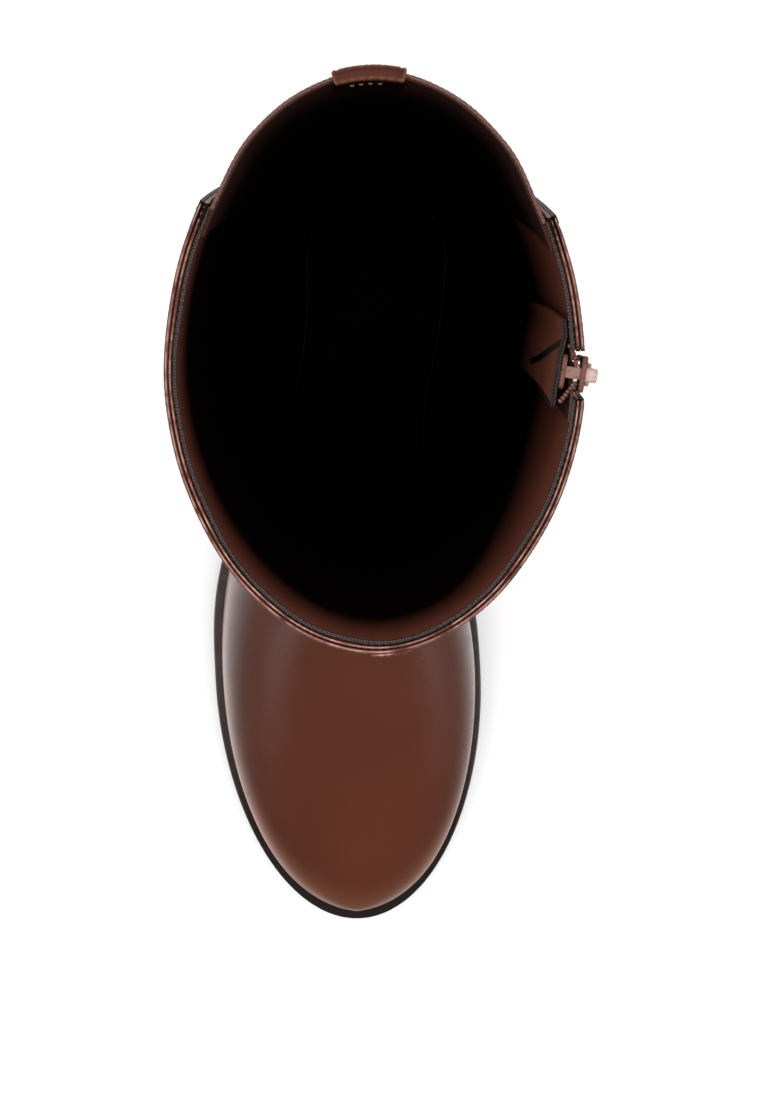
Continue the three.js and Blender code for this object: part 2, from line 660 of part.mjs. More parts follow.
function zipTapeBody(side) {
  return panel({
    from: (along) => zipLine(along, side > 0 ? TAPE.near : -TAPE.far),
    to: (along) => zipLine(along, side > 0 ? TAPE.far : -TAPE.near),
    columns: 2,
    start: ZIP_FOOT_AT - TAPE.tail,
    end: COLLAR_AT - TOP_CLEARANCE,
    rows: ZIP_ROWS,
    depthOut: () => TAPE.out,
    depthIn: () => TAPE.in,
  });
}

function zipChainBody() {
  return panel({
    from: (along) => zipLine(along, -CHAIN.halfWidth),
    to: (along) => zipLine(along, CHAIN.halfWidth),
    columns: 4,
    start: ZIP_FOOT_AT + CHAIN.start,
    end: COLLAR_AT - SLIDER.drop - SLIDER.halfHeight - CHAIN.slack,
    rows: ZIP_ROWS,
    depthOut: (share) => CHAIN.out + CHAIN.crown * (2 * share - 1) ** 2,
    depthIn: () => CHAIN.in,
  });
}

// Flap sewn on behind the zip, leaning away from it towards its free front edge.
function zipGuardBody() {
  const depth = (share) => (share > GUARD.turn
    ? mix(GUARD.clear, GUARD.start, (share - GUARD.turn) / (1 - GUARD.turn))
    : mix(GUARD.free, GUARD.clear, share / GUARD.turn));
  return panel({
    from: (along) => zipLine(along, GUARD.front),
    to: (along) => zipLine(along, GUARD.back),
    columns: 4,
    start: ZIP_FOOT_AT - GUARD.tail,
    end: COLLAR_AT - GUARD.drop,
    rows: ZIP_ROWS,
    depthOut: depth,
    depthIn: (share) => depth(share) + GUARD.thickness,
  });
}

// Middle of the slider on the leather's surface.
const SLIDER_AT = surface(zipLine(COLLAR_AT - SLIDER.drop, 0), COLLAR_AT - SLIDER.drop);

// Outline in the plane of the leather, pushed out sideways from `from` to `to`.
function plate(outline, from, to) {
  const geometry = new THREE.ExtrudeGeometry(outline, {
    depth: to - from, bevelEnabled: false, curveSegments: 5,
  });
  geometry.rotateX(QUARTER).rotateZ(QUARTER);
  return geometry.translate(from, 0, 0);
}

// Slider plate seen from outside: wide shoulders at the top, narrower at the foot.
function plateOutline(halfWidth, halfHeight) {
  const foot = halfWidth * SLIDER.footShare;
  const corner = halfWidth * SLIDER.cornerShare;
  const outline = new THREE.Shape();
  outline.moveTo(-foot, -halfHeight);
  outline.lineTo(foot, -halfHeight);
  outline.lineTo(halfWidth, 0);
  outline.lineTo(halfWidth, halfHeight - corner);
  outline.quadraticCurveTo(halfWidth, halfHeight, halfWidth - corner, halfHeight);
  outline.lineTo(corner - halfWidth, halfHeight);
  outline.quadraticCurveTo(-halfWidth, halfHeight, -halfWidth, halfHeight - corner);
  outline.lineTo(-halfWidth, 0);
  return outline;
}

const CROWN = { low: -2.3, high: 3.7, out: 3.6, bar: 1.1, corner: 1.3 };
const PULL = {
  pivot: { out: 1.35, up: 0.8 }, thick: 1.0, barHalf: 0.5, arm: 0.8, ringHalfWidth: 2.9,
  windowDrop: 3.9, shoulder: 1, tabHalfWidth: 3.4, drop: 22,
};

// Arch over the slider that holds the pull, seen from the side.
function crownBody() {
  const outline = new THREE.Shape();
  outline.moveTo(0, CROWN.low);
  outline.lineTo(CROWN.out - CROWN.corner, CROWN.low);
  outline.quadraticCurveTo(CROWN.out, CROWN.low, CROWN.out, CROWN.low + CROWN.corner);
  outline.lineTo(CROWN.out, CROWN.high - CROWN.corner);
  outline.quadraticCurveTo(CROWN.out, CROWN.high, CROWN.out - CROWN.corner, CROWN.high);
  outline.lineTo(0, CROWN.high);
  const opening = new THREE.Path();
  opening.moveTo(SLIDER.out, CROWN.low + CROWN.bar);
  opening.lineTo(SLIDER.out, CROWN.high - CROWN.bar);
  opening.lineTo(CROWN.out - CROWN.bar, CROWN.high - CROWN.bar);
  opening.lineTo(CROWN.out - CROWN.bar, CROWN.low + CROWN.bar);
  outline.holes.push(opening);
  const geometry = new THREE.ExtrudeGeometry(outline, {
    depth: 2 * SLIDER.crownHalfWidth, bevelEnabled: false, curveSegments: 3,
  });
  return geometry.rotateX(QUARTER).translate(0, SLIDER.crownHalfWidth, 0);
}

function zipSliderBody() {
  const outer = plate(plateOutline(SLIDER.halfWidth, SLIDER.halfHeight),
    SLIDER.out - SLIDER.plate, SLIDER.out);
  const inner = plate(plateOutline(
    SLIDER.halfWidth - INNER_PLATE_INSET.side,
    SLIDER.halfHeight - INNER_PLATE_INSET.end,
  ), SLIDER.inner - SLIDER.plate, SLIDER.inner);
  const post = box(
    new THREE.Vector3(SLIDER.inner - POST.root, -POST.halfWidth, POST.low),
    new THREE.Vector3(SLIDER.out - SLIDER.plate + POST.root, POST.halfWidth, POST.high),
  );
  const body = solid(outer).add(solid(inner)).add(solid(post)).add(solid(crownBody()));
  return geometryOf(body);
}

// Pull hanging from the crown: a ring with its top bar under the crown, and a tapered tab.
function zipPullBody() {
  const outline = new THREE.Shape();
  const { ringHalfWidth, tabHalfWidth, barHalf, drop } = PULL;
  outline.moveTo(-ringHalfWidth, barHalf);
  outline.lineTo(-ringHalfWidth, -PULL.windowDrop - PULL.shoulder);
  outline.lineTo(-tabHalfWidth, -drop + tabHalfWidth);
  outline.absarc(0, -drop + tabHalfWidth, tabHalfWidth, Math.PI, 2 * Math.PI, false);
  outline.lineTo(ringHalfWidth, -PULL.windowDrop - PULL.shoulder);
  outline.lineTo(ringHalfWidth, barHalf);
  const side = ringHalfWidth - PULL.arm;
  const opening = new THREE.Path();
  opening.moveTo(-side, -barHalf);
  opening.lineTo(side, -barHalf);
  opening.lineTo(side, -PULL.windowDrop);
  opening.lineTo(-side, -PULL.windowDrop);
  outline.holes.push(opening);
  const geometry = plate(outline, -PULL.thick / 2, PULL.thick / 2);
  return geometry.translate(PULL.pivot.out, 0, PULL.pivot.up);
}

// ---------- the boot ----------

const FINISHES = {
  leather: { color: 0x5e3023, roughness: 0.42, metalness: 0 },
  elastic: { color: 0x3c211a, roughness: 0.85, metalness: 0 },
  rubber: { color: 0x1c1a19, roughness: 0.6, metalness: 0 },
  lining: { color: 0x4e2a1e, roughness: 0.7, metalness: 0 },
  tape: { color: 0x3f2a24, roughness: 0.9, metalness: 0 },
  coil: { color: 0x5d3b35, roughness: 0.5, metalness: 0 },
  metal: { color: 0xb08272, roughness: 0.3, metalness: 1 },
};

const boot = new THREE.Group();

// Adds one piece in its own material.
function add(name, geometry, finish, place = new THREE.Vector3(), turn = 0) {
  const mesh = new THREE.Mesh(geometry, new THREE.MeshStandardMaterial(FINISHES[finish]));
  mesh.name = name;
  mesh.position.copy(place);
  mesh.rotation.z = turn;
  boot.add(mesh);
}

add('outsole', outsoleBody(), 'rubber');
add('heel', heelBody(), 'rubber');
add('heel_top_piece', topPieceBody(), 'rubber');
add('welt', weltBody(), 'rubber');
add('insole', insoleBody(), 'lining');
add('upper', upperBody(), 'leather');
add('gore', goreBody(), 'elastic');
add('pull_tab', pullTabBody(), 'leather');
add('zip_tape_front', zipTapeBody(-1), 'tape');
add('zip_tape_back', zipTapeBody(1), 'tape');
add('zip_chain', zipChainBody(), 'coil');
add('zip_guard', zipGuardBody(), 'lining');
add('zip_slider', zipSliderBody(), 'metal', SLIDER_AT, SLIDER_TURN);
add('zip_pull', zipPullBody(), 'metal', SLIDER_AT, SLIDER_TURN);

export default boot;
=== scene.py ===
import math

import bpy
import numpy as np
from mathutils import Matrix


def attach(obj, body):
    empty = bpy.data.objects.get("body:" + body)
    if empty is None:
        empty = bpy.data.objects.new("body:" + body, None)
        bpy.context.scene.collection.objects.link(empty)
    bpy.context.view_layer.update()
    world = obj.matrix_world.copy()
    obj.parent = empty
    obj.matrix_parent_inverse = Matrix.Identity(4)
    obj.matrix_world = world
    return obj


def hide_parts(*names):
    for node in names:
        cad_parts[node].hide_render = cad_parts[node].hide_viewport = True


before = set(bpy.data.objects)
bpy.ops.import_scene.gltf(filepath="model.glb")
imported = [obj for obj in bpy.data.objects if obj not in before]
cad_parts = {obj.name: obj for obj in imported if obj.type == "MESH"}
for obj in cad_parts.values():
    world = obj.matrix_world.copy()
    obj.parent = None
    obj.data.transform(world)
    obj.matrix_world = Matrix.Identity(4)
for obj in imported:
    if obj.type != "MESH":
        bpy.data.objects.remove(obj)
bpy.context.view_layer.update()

# Knee-high leather boot, right foot. Shapes are worked out in millimetres as (x, forward, height) and
# put into the meshes in metres, with +X the inner side, -Y the toe and +Z up.

MM = 0.001
BOOT = "boot"
PULL = "zip_pull"
WELD = 1000                    # points are one when they agree to this part of a millimetre
NUDGE = 1e-3                   # a step small enough to measure a direction
PROBE = 0.01                   # half of the step of u over which widths are measured

# ---------------------------------------------------------------- sizes of the boot

BOOT_HEIGHT = 400.0
TOE_TIP = 238.0
BALL_LINE = 150.0
BALL_HALF_WIDTH = 48.2
BALL_CENTRE = -10.5
TOE_CENTRE = -7.3
HEEL_RADIUS = 31.0
HEEL_BLOCK_HEIGHT = 24.0
OUTSOLE_FRONT = 8.0
OUTSOLE_BACK = 5.0
TOE_SPRING = 8.5
TOE_SPRING_POWER = 1.8
FLAT_FRONT = 178.0
FLAT_BACK = 112.0
HEEL_BREAST = 34.0
ARCH_END = HEEL_BREAST + 4.0
WALL = 2.2
GAP = 0.3
BALL_AT = 113.0
HEEL_AT = BALL_AT + BALL_LINE
SEAM_AT = HEEL_AT + 44.0
HEEL_SEAT = HEEL_BLOCK_HEIGHT + OUTSOLE_BACK
COLLAR_AT = SEAM_AT + BOOT_HEIGHT - HEEL_SEAT
RIDGE_SIDE_AT_BALL = -6.0
RIDGE_STRAIGHT_AT = SEAM_AT + 60


def table(names, rows):
    """A table with named columns, each an array."""
    return dict(zip(names.split(), np.array(rows, float).T))


WAIST = table("forward lateral medial", [
    (0, -31, 31), (28, -32.2, 29.2), (55, -37.8, 24.6), (80, -46.4, 25.8),
    (105, -55.2, 30.6), (128, -59.0, 35.8), (150, -58.7, 37.7)])

STEP = table("along lateral medial", [
    (0, 4.6, 4.6), (57, 4.0, 5.0), (113, 3.6, 5.2), (188, 3.9, 5.1), (225, 4.3, 5.6), (263, 4.2, 4.3),
    (307, 3.8, 3.8)])

# One row per section of the upper, as in the CAD source.
SECTIONS = table("along ridge_forward ridge_height half_width share top low", [
    (0, 233, 28, 0, 0.72, 2.1, 2.0),
    (12, 231.4, 33, 8, 0.73, 2.1, 2.0),
    (28, 225.5, 38.6, 17.9, 0.75, 2.15, 2.0),
    (57, 208, 46.5, 32.4, 0.76, 2.2, 2.0),
    (85, 181, 54.5, 41.7, 0.77, 2.2, 2.0),
    (113, 152, 63, 45.0, 0.78, 2.15, 2.0),
    (150, 131, 71, 42.0, 0.76, 2.1, 1.9),
    (188, 117, 79.5, 35.5, 0.7, 2.05, 1.8),
    (225, 106, 89, 33, 0.62, 2.0, 1.75),
    (263, 97, 99, 33, 0.56, 2.0, 1.75),
    (285, 91.5, 108, 33, 0.53, 2.0, 1.8),
    (296, 89, 113.3, 33, 0.515, 2.0, 1.9),
    (307, 86.5, 119, 33.1, 0.5, 2.0, 2.35),
    (344, 81.5, 138, 34.1, 0.49, 2.0, 2.25),
    (381, 79, 158, 35.9, 0.49, 2.0, 2.15),
    (418, 78.5, 180, 38.6, 0.49, 2.0, 2.0),
    (492, 80.5, 231, 43, 0.485, 1.95, 2.0),
    (584, 88.5, 313, 48, 0.48, 1.92, 2.0),
    (678, 99.3, 400, 51, 0.475, 1.9, 2.0)])

BACK_SEAM = table("height forward", [
    (HEEL_SEAT + GAP, -27.2), (58, -30.2), (90, -28.6), (122, -26), (180, -27.6), (250, -33.6),
    (330, -40.6), (400, -43.5)])


# ---------------------------------------------------------------- shape functions

def natural_spline(columns, key, column):
    """Natural cubic through one column: the bends at the rows solve
    h0*b0 + 2*(h0 + h1)*b1 + h1*b2 = 6*(slope1 - slope0), with no bend at either end."""
    x, y = columns[key], columns[column]
    h = np.diff(x)
    system = np.eye(len(x))
    right = np.zeros(len(x))
    inner = np.arange(1, len(x) - 1)
    system[inner, inner - 1] = h[:-1]
    system[inner, inner] = 2 * (h[:-1] + h[1:])
    system[inner, inner + 1] = h[1:]
    right[inner] = 6 * np.diff(np.diff(y) / h)
    bend = np.linalg.solve(system, right)

    def value(v):
        """The spline's height at v."""
        i = np.clip(np.searchsorted(x, v) - 1, 0, len(x) - 2)
        b = (v - x[i]) / h[i]
        a = 1 - b
        cubic = (a ** 3 - a) * bend[i] + (b ** 3 - b) * bend[i + 1]
        return a * y[i] + b * y[i + 1] + cubic * h[i] ** 2 / 6
    return value


SIDES = {-1: "lateral", 1: "medial"}
WAIST_EDGE = {side: natural_spline(WAIST, "forward", name) for side, name in SIDES.items()}
STEP_WIDTH = {side: natural_spline(STEP, "along", name) for side, name in SIDES.items()}
SHAPE = {name: natural_spline(SECTIONS, "along", name) for name in SECTIONS if name != "along"}
back_seam = natural_spline(BACK_SEAM, "height", "forward")


def mix(a, b, share):
    """a at share 0 and b at share 1."""
    return a + (b - a) * share


def smooth(value, low, high):
    """0 below low, 1 above high, and 3t^2 - 2t^3 between them."""
    t = np.clip((value - low) / (high - low), 0, 1)
    return t * t * (3 - 2 * t)


def bump(value, middle, width):
    """exp(-((value - middle) / width)^2)."""
    return np.exp(-((value - middle) / width) ** 2)


def sole_edge(along, side, inset=0.0):
    """Outline of the sole, as (x, forward): half an ellipse round the toe, a spline along the waist
    and a quarter circle at the heel, each moved in by the inset."""
    along = np.asarray(along, float)
    turn = np.clip(along / BALL_AT, 0, 1) * math.pi / 2
    toe_x = mix(BALL_CENTRE, TOE_CENTRE, np.cos(turn)) + side * (BALL_HALF_WIDTH - inset) * np.sin(turn)
    toe_f = BALL_LINE + (TOE_TIP - BALL_LINE - inset) * np.cos(turn)
    waist_f = np.clip(HEEL_AT - along, 0, BALL_LINE)
    waist_x = WAIST_EDGE[side](waist_f) - side * inset
    turn = np.clip((along - HEEL_AT) / (SEAM_AT - HEEL_AT), 0, 1) * math.pi / 2
    radius = HEEL_RADIUS - inset
    x = np.where(along <= BALL_AT, toe_x, np.where(along <= HEEL_AT, waist_x, side * radius * np.cos(turn)))
    f = np.where(along <= BALL_AT, toe_f, np.where(along <= HEEL_AT, waist_f, -radius * np.sin(turn)))
    return x, f


def underside(forward):
    """Height of the outsole's underside: flat at the ball, a power curve up to the toe and a smooth
    rise over the arch to the heel."""
    share = np.clip((forward - FLAT_FRONT) / (TOE_TIP - FLAT_FRONT), 0, None)
    return TOE_SPRING * share ** TOE_SPRING_POWER + HEEL_BLOCK_HEIGHT * arch(forward)


def arch(forward):
    """0 at the ball and 1 from the heel's breast back."""
    return smooth(FLAT_BACK - forward, 0, FLAT_BACK - ARCH_END)


def seat(forward):
    """Height of the outsole's top."""
    return underside(forward) + mix(OUTSOLE_FRONT, OUTSOLE_BACK, arch(forward))


def section_end(along):
    """Where a section ends: middle, half width, forward place and height. On the foot it is the lower
    edge of the upper, and past the heel's back the back seam."""
    lateral_x, lateral_f = sole_edge(along, -1, STEP_WIDTH[-1](along))
    medial_x, medial_f = sole_edge(along, 1, STEP_WIDTH[1](along))
    on_seam = along >= SEAM_AT
    forward = (lateral_f + medial_f) / 2
    climb = (along - SEAM_AT) / (COLLAR_AT - SEAM_AT)
    z = np.where(on_seam, mix(HEEL_SEAT + GAP, BOOT_HEIGHT, climb), seat(forward) + GAP)
    forward = np.where(on_seam, back_seam(z), forward)
    centre = np.where(on_seam, 0, (lateral_x + medial_x) / 2)
    half = np.where(on_seam, 0, (medial_x - lateral_x) / 2)
    return centre, half, forward, z


def section_point(turn, along):
    """Point of a section: from the ridge down to its end by `down`, and out by `width`. Each quarter
    is a superellipse: |cos|^(2/n) and |sin|^(2/n) of the quarter's angle."""
    turn, along = np.broadcast_arrays(np.asarray(turn, float), np.asarray(along, float))
    centre, half, end_f, end_z = section_end(along)
    widest, share = SHAPE["half_width"](along), SHAPE["share"](along)
    upper = np.abs(turn) <= 0.5
    power = 2 / np.where(upper, SHAPE["top"](along), SHAPE["low"](along))
    angle = np.where(upper, np.abs(turn), np.abs(turn) - 0.5) * math.pi
    rising = np.clip(np.sin(angle), 0, None) ** power
    falling = np.clip(np.cos(angle), 0, None) ** power
    down = np.where(upper, share * (1 - falling), share + (1 - share) * rising)
    width = np.where(upper, widest * rising, half + (widest - half) * falling)
    ridge_x = np.where(
        along < BALL_AT, mix(TOE_CENTRE, RIDGE_SIDE_AT_BALL, along / BALL_AT),
        RIDGE_SIDE_AT_BALL * (1 - smooth(along, BALL_AT, RIDGE_STRAIGHT_AT)))
    return np.stack([
        mix(ridge_x, centre, down) + np.sign(turn) * width,
        mix(SHAPE["ridge_forward"](along), end_f, down),
        mix(SHAPE["ridge_height"](along), end_z, down)], -1)


BLEND_REACH = 20.0
BLEND_SPAN = 2.5 * BLEND_REACH
BLEND_EDGE_POWER = 6
BLEND_WEIGHTS = (1, 6, 15, 20, 15, 6, 1)


def surface(u, along):
    """Outer surface: the section point, evened out along the boot near the section through the
    heel's back. Past the back seam u comes round again."""
    u, along = np.broadcast_arrays(np.asarray(u, float), np.asarray(along, float))
    turn = np.where(u > 1, u - 2, np.where(u < -1, u + 2, u))
    nearness = np.clip(1 - ((along - SEAM_AT) / BLEND_SPAN) ** 2, 0, None)
    reach = BLEND_REACH * nearness ** 2 * (1 - turn ** BLEND_EDGE_POWER)
    point = np.zeros(turn.shape + (3,))
    for k, weight in enumerate(BLEND_WEIGHTS):
        point += section_point(turn, along + (k - 3) / 3 * reach) * weight / sum(BLEND_WEIGHTS)
    return point


def outward(u, along):
    """Outward direction: the cross product of the surface's two slopes. It is level along the collar
    and along the lower edge."""
    u, along = np.broadcast_arrays(np.asarray(u, float), np.asarray(along, float))
    length = surface(u, np.minimum(COLLAR_AT, along + NUDGE)) - surface(u, np.maximum(0, along - NUDGE))
    across = surface(u + NUDGE, along) - surface(u - NUDGE, along)
    # (x, forward, height) is a left-handed frame, so the product's order is the other way round
    normal = np.cross(length, across)
    rim = (np.abs(np.abs(u) - 1) < 1e-9) & (along <= SEAM_AT)
    edge = surface(u, np.minimum(SEAM_AT, along + NUDGE)) - surface(u, np.clip(along - NUDGE, 0, SEAM_AT))
    level = np.stack([edge[..., 1], -edge[..., 0], np.zeros_like(u)], -1) * -np.sign(u)[..., None]
    normal = np.where(rim[..., None], level, normal)
    normal[..., 0] = np.where(along == 0, 0, normal[..., 0])
    normal[..., 2] = np.where(along >= COLLAR_AT, 0, normal[..., 2])
    return normal / np.maximum(np.linalg.norm(normal, axis=-1, keepdims=True), 1e-12)


def under(u, along, depth):
    """Point at a depth below the outer surface; a negative depth stands proud of it."""
    return surface(u, along) - outward(u, along) * np.asarray(depth, float)[..., None]


ZIP_FOOT_AT = SEAM_AT
GORE_FOOT_AT = SEAM_AT + 74
SLIT_HALF_WIDTH = 5.6
ZIP_LINE = {"foot": 0.53, "collar": 0.497}
GORE_AT_COLLAR = {-1: 0.69, 1: 0.672}
GORE_AT_FOOT = 0.893


def per_millimetre(u, along):
    """Change of u for one millimetre across the boot."""
    reach = np.linalg.norm(surface(u + PROBE, along) - surface(u - PROBE, along), axis=-1)
    return 2 * PROBE / np.maximum(reach, 1e-6)


def zip_line(along, distance):
    """u of a line beside the zip at a distance, positive towards the heel."""
    place = np.maximum(along, ZIP_FOOT_AT)
    rise = (place - ZIP_FOOT_AT) / (COLLAR_AT - ZIP_FOOT_AT)
    middle = mix(ZIP_LINE["foot"], ZIP_LINE["collar"], rise)
    return middle + distance * per_millimetre(middle, place)


def gore_line(along, side, distance=0.0):
    """u of the gore's edge on one side, moved by a distance towards the front."""
    place = np.maximum(along, GORE_FOOT_AT)
    rise = (place - GORE_FOOT_AT) / (COLLAR_AT - GORE_FOOT_AT)
    line = mix(GORE_AT_FOOT, GORE_AT_COLLAR[side], rise)
    return side * (line - distance * per_millimetre(line, along))


# ---------------------------------------------------------------- meshes from arrays

def to_metres(points):
    """(x, forward, height) in millimetres to (x, y, z) in metres."""
    return points * np.array([MM, -MM, MM])


def make_mesh(name, points, faces, sharp=40):
    """An object at the origin from an array of points in millimetres and a list of face arrays."""
    mesh = bpy.data.meshes.new(name)
    sizes = np.concatenate([np.full(len(part), part.shape[1]) for part in faces])
    corners = np.concatenate([part.ravel() for part in faces])
    mesh.vertices.add(len(points))
    mesh.vertices.foreach_set("co", to_metres(points).ravel())
    mesh.loops.add(len(corners))
    mesh.loops.foreach_set("vertex_index", corners.astype(np.int32))
    mesh.polygons.add(len(sizes))
    mesh.polygons.foreach_set("loop_start", (np.cumsum(sizes) - sizes).astype(np.int32))
    mesh.update(calc_edges=True)
    mesh.validate()
    mesh.shade_smooth()
    mesh.set_sharp_from_angle(angle=math.radians(sharp))
    obj = bpy.data.objects.new(name, mesh)
    bpy.context.collection.objects.link(obj)
    return obj


def set_attribute(obj, name, values):
    """A vector or a number per vertex that the materials read."""
    values = np.asarray(values, float)
    kind = "FLOAT_VECTOR" if values.ndim == 2 else "FLOAT"
    layer = obj.data.attributes.new(name, kind, "POINT")
    layer.data.foreach_set("vector" if values.ndim == 2 else "value", values.ravel())


def weld(points):
    """Index of each point among the different ones, and the first place of each of those."""
    keys = np.round(points.reshape(-1, 3) * WELD).astype(np.int64)
    _, first, index = np.unique(keys, axis=0, return_index=True, return_inverse=True)
    return first, index.reshape(points.shape[:-1])


def split_cells(cells):
    """Cells of four corners as quads where all four differ, else as the triangles that are left."""
    whole = (np.diff(np.sort(cells, 1), axis=1) != 0).all(1)
    rest = cells[~whole]
    halves = np.concatenate([rest[:, [0, 1, 2]], rest[:, [0, 2, 3]]])
    keep = (halves[:, 0] != halves[:, 1]) & (halves[:, 1] != halves[:, 2]) & (halves[:, 2] != halves[:, 0])
    return cells[whole], halves[keep]


def closed_body(name, front, back, keep=None, values=None, sharp=40):
    """Closed body between a front grid and a back grid. Cells that are not kept stay open, and every
    free edge gets a rim. `values` names grids of numbers or vectors for the material."""
    first, index = weld(front)
    cells = np.stack([index[:-1, :-1], index[:-1, 1:], index[1:, 1:], index[1:, :-1]], -1)
    cells = cells[np.ones(cells.shape[:2], bool) if keep is None else keep]
    quads, triangles = split_cells(cells.reshape(-1, 4))
    count = len(first)
    starts = np.concatenate([quads.ravel(), triangles.ravel()])
    ends = np.concatenate([np.roll(quads, -1, 1).ravel(), np.roll(triangles, -1, 1).ravel()])
    free = ~np.isin(starts * count + ends, ends * count + starts)
    a, b = starts[free], ends[free]
    rim = np.stack([b, a, a + count, b + count], -1)
    points = np.concatenate([front.reshape(-1, 3)[first], back.reshape(-1, 3)[first]])
    faces = [quads, quads[:, ::-1] + count, rim]
    if len(triangles):
        faces += [triangles, triangles[:, ::-1] + count]
    obj = make_mesh(name, points, faces, sharp)
    for key, value in (values or {}).items():
        chosen = value.reshape(front.shape[0] * front.shape[1], -1)[first]
        set_attribute(obj, key, np.squeeze(np.concatenate([chosen, chosen])))
    set_attribute(obj, "inside", np.repeat([0.0, 1.0], count))
    return obj


# Lengths below the collar, in millimetres, over which the brown leather inside fades into painted shade
PAINTED_SHADE_FADE = {"lateral": 42, "medial": 108, "front_less": 12}


def lit_facing_share(u, along):
    """How much of the brown leather shows inside the boot before painted shade takes over: a power curve
    from all of it at the collar down to none. It fades further down on the medial side and sooner at the
    very front."""
    fade = mix(PAINTED_SHADE_FADE["lateral"], PAINTED_SHADE_FADE["medial"], smooth(u, 0.12, 0.4))
    fade = fade - PAINTED_SHADE_FADE["front_less"] * bump(u, 0.0, 0.22)
    below = COLLAR_AT - along
    return (1 - np.clip((below - 1.5) / fade, 0, 1)) ** 1.25 * smooth(below, 0.2, 2.6)


def panel(name, start_u, end_u, columns, along, depth_out, depth_in):
    """Closed body under the boot's surface between two lines. Its `place` is the distance across and
    the distance along, and its `lit_facing` says how much of the brown leather's colour shows before the
    painted shade."""
    share = np.linspace(0, 1, columns + 1)[None, :]
    rows = np.asarray(along, float)[:, None]
    u = mix(start_u(rows), end_u(rows), share)
    rows = np.broadcast_to(rows, u.shape)
    front = under(u, rows, depth_out(share, rows) + 0 * u)
    back = under(u, rows, depth_in(share, rows) + 0 * u)
    steps = np.linalg.norm(np.diff(front, axis=1), axis=-1)
    across = np.concatenate([np.zeros((len(along), 1)), np.cumsum(steps, 1)], 1)
    across -= across[:, -1:] / 2
    values = {"place": np.stack([across, rows, 0 * rows], -1), "lit_facing": lit_facing_share(u, rows)}
    return closed_body(name, front, back, values=values)


def constant(value):
    """A depth or an inset that is the same all over."""
    return lambda *place: value


def tube(name, rings, closed=False, values=None, sharp=60):
    """Body swept through rings of points: rings[i][j] is point j of ring i. Open ends are closed by
    one face each."""
    count, round_count = rings.shape[:2]
    i = np.arange(count if closed else count - 1)[:, None]
    j = np.arange(round_count)[None, :]
    a = i * round_count + j
    b = i * round_count + (j + 1) % round_count
    c = (i + 1) % count * round_count + (j + 1) % round_count
    d = (i + 1) % count * round_count + j
    faces = [np.stack([a, b, c, d], -1).reshape(-1, 4)]
    if not closed:
        cap = np.arange(round_count)
        faces += [cap[None, ::-1], cap[None, :] + (count - 1) * round_count]
    obj = make_mesh(name, rings.reshape(-1, 3), faces, sharp)
    if values is not None:
        set_attribute(obj, "place", values.reshape(-1, 3))
    return obj


def finish_piece(obj, body=BOOT, replaces=(), materials=()):
    """Puts materials on a piece, puts it under its body and hides the CAD parts it stands for."""
    for material in materials:
        obj.data.materials.append(material)
    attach(obj, body)
    if replaces:
        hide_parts(*replaces)
    return obj


# ---------------------------------------------------------------- materials

class Finish:
    """A material with a Principled shader, and short ways to add nodes to it or to a group."""

    def __init__(self, name, tree=None):
        """Starts a new material, or works in a tree that is there already."""
        self.material = None
        if tree is None:
            self.material = bpy.data.materials.new(name)
            self.material.use_nodes = True
            tree = self.material.node_tree
            self.shader = tree.nodes["Principled BSDF"]
        self.tree = tree

    def node(self, kind, inputs=None, **settings):
        """A node with its settings, and its inputs set or linked."""
        family = "Node" if kind in ("GroupInput", "GroupOutput") else "ShaderNode"
        made = self.tree.nodes.new(family + kind)
        for key, value in settings.items():
            setattr(made, key, value)
        for key, value in (inputs or {}).items():
            self.put(made.inputs[key], value)
        return made

    def put(self, socket, value):
        """Sets a socket, or links it when the value is another socket."""
        if isinstance(value, bpy.types.NodeSocket):
            self.tree.links.new(value, socket)
        else:
            socket.default_value = value

    def math(self, operation, a, b=0.0):
        """One number worked out from two."""
        made = self.node("Math", operation=operation)
        self.put(made.inputs[0], a)
        self.put(made.inputs[1], b)
        return made.outputs[0]

    def blend(self, share, a, b):
        """Colour a at share 0 and b at share 1."""
        made = self.node("Mix", data_type="RGBA")
        self.put(made.inputs["Factor"], share)
        self.put(made.inputs["A"], a)
        self.put(made.inputs["B"], b)
        return made.outputs["Result"]

    def span(self, value, low, high, to_low=0.0, to_high=1.0):
        """A value taken from one range to another, held at both ends."""
        made = self.node("MapRange", {
            "Value": value, "From Min": low, "From Max": high, "To Min": to_low, "To Max": to_high})
        return made.outputs["Result"]

    def coords(self):
        """The place on the object, in metres."""
        return self.node("TexCoord").outputs["Object"]

    def attribute(self, name, output="Fac"):
        """A grid of numbers or vectors that the piece carries."""
        return self.node("Attribute", attribute_name=name).outputs[output]

    def group(self, tree, inputs):
        """One of the shared effects, with its own values."""
        made = self.node("Group")
        made.node_tree = tree
        for key, value in inputs.items():
            self.put(made.inputs[key], value)
        return made.outputs

    def shade(self, **sockets):
        """Sets or links the shader's sockets; an underscore stands for a space."""
        for key, value in sockets.items():
            self.put(self.shader.inputs[key.replace("_", " ").title().replace("Ior", "IOR")], value)

    def bump(self, height, distance):
        """Makes the shader read a height, where 1 is a relief of `distance` metres."""
        made = self.node("Bump", {"Height": height, "Distance": distance})
        self.tree.links.new(made.outputs["Normal"], self.shader.inputs["Normal"])


def rgb(red, green, blue):
    """A colour given in display values from 0 to 255, as the shader's linear one."""
    channels = []
    for value in (red, green, blue):
        value /= 255
        channels.append(value / 12.92 if value <= 0.04045 else ((value + 0.055) / 1.055) ** 2.4)
    return (*channels, 1.0)


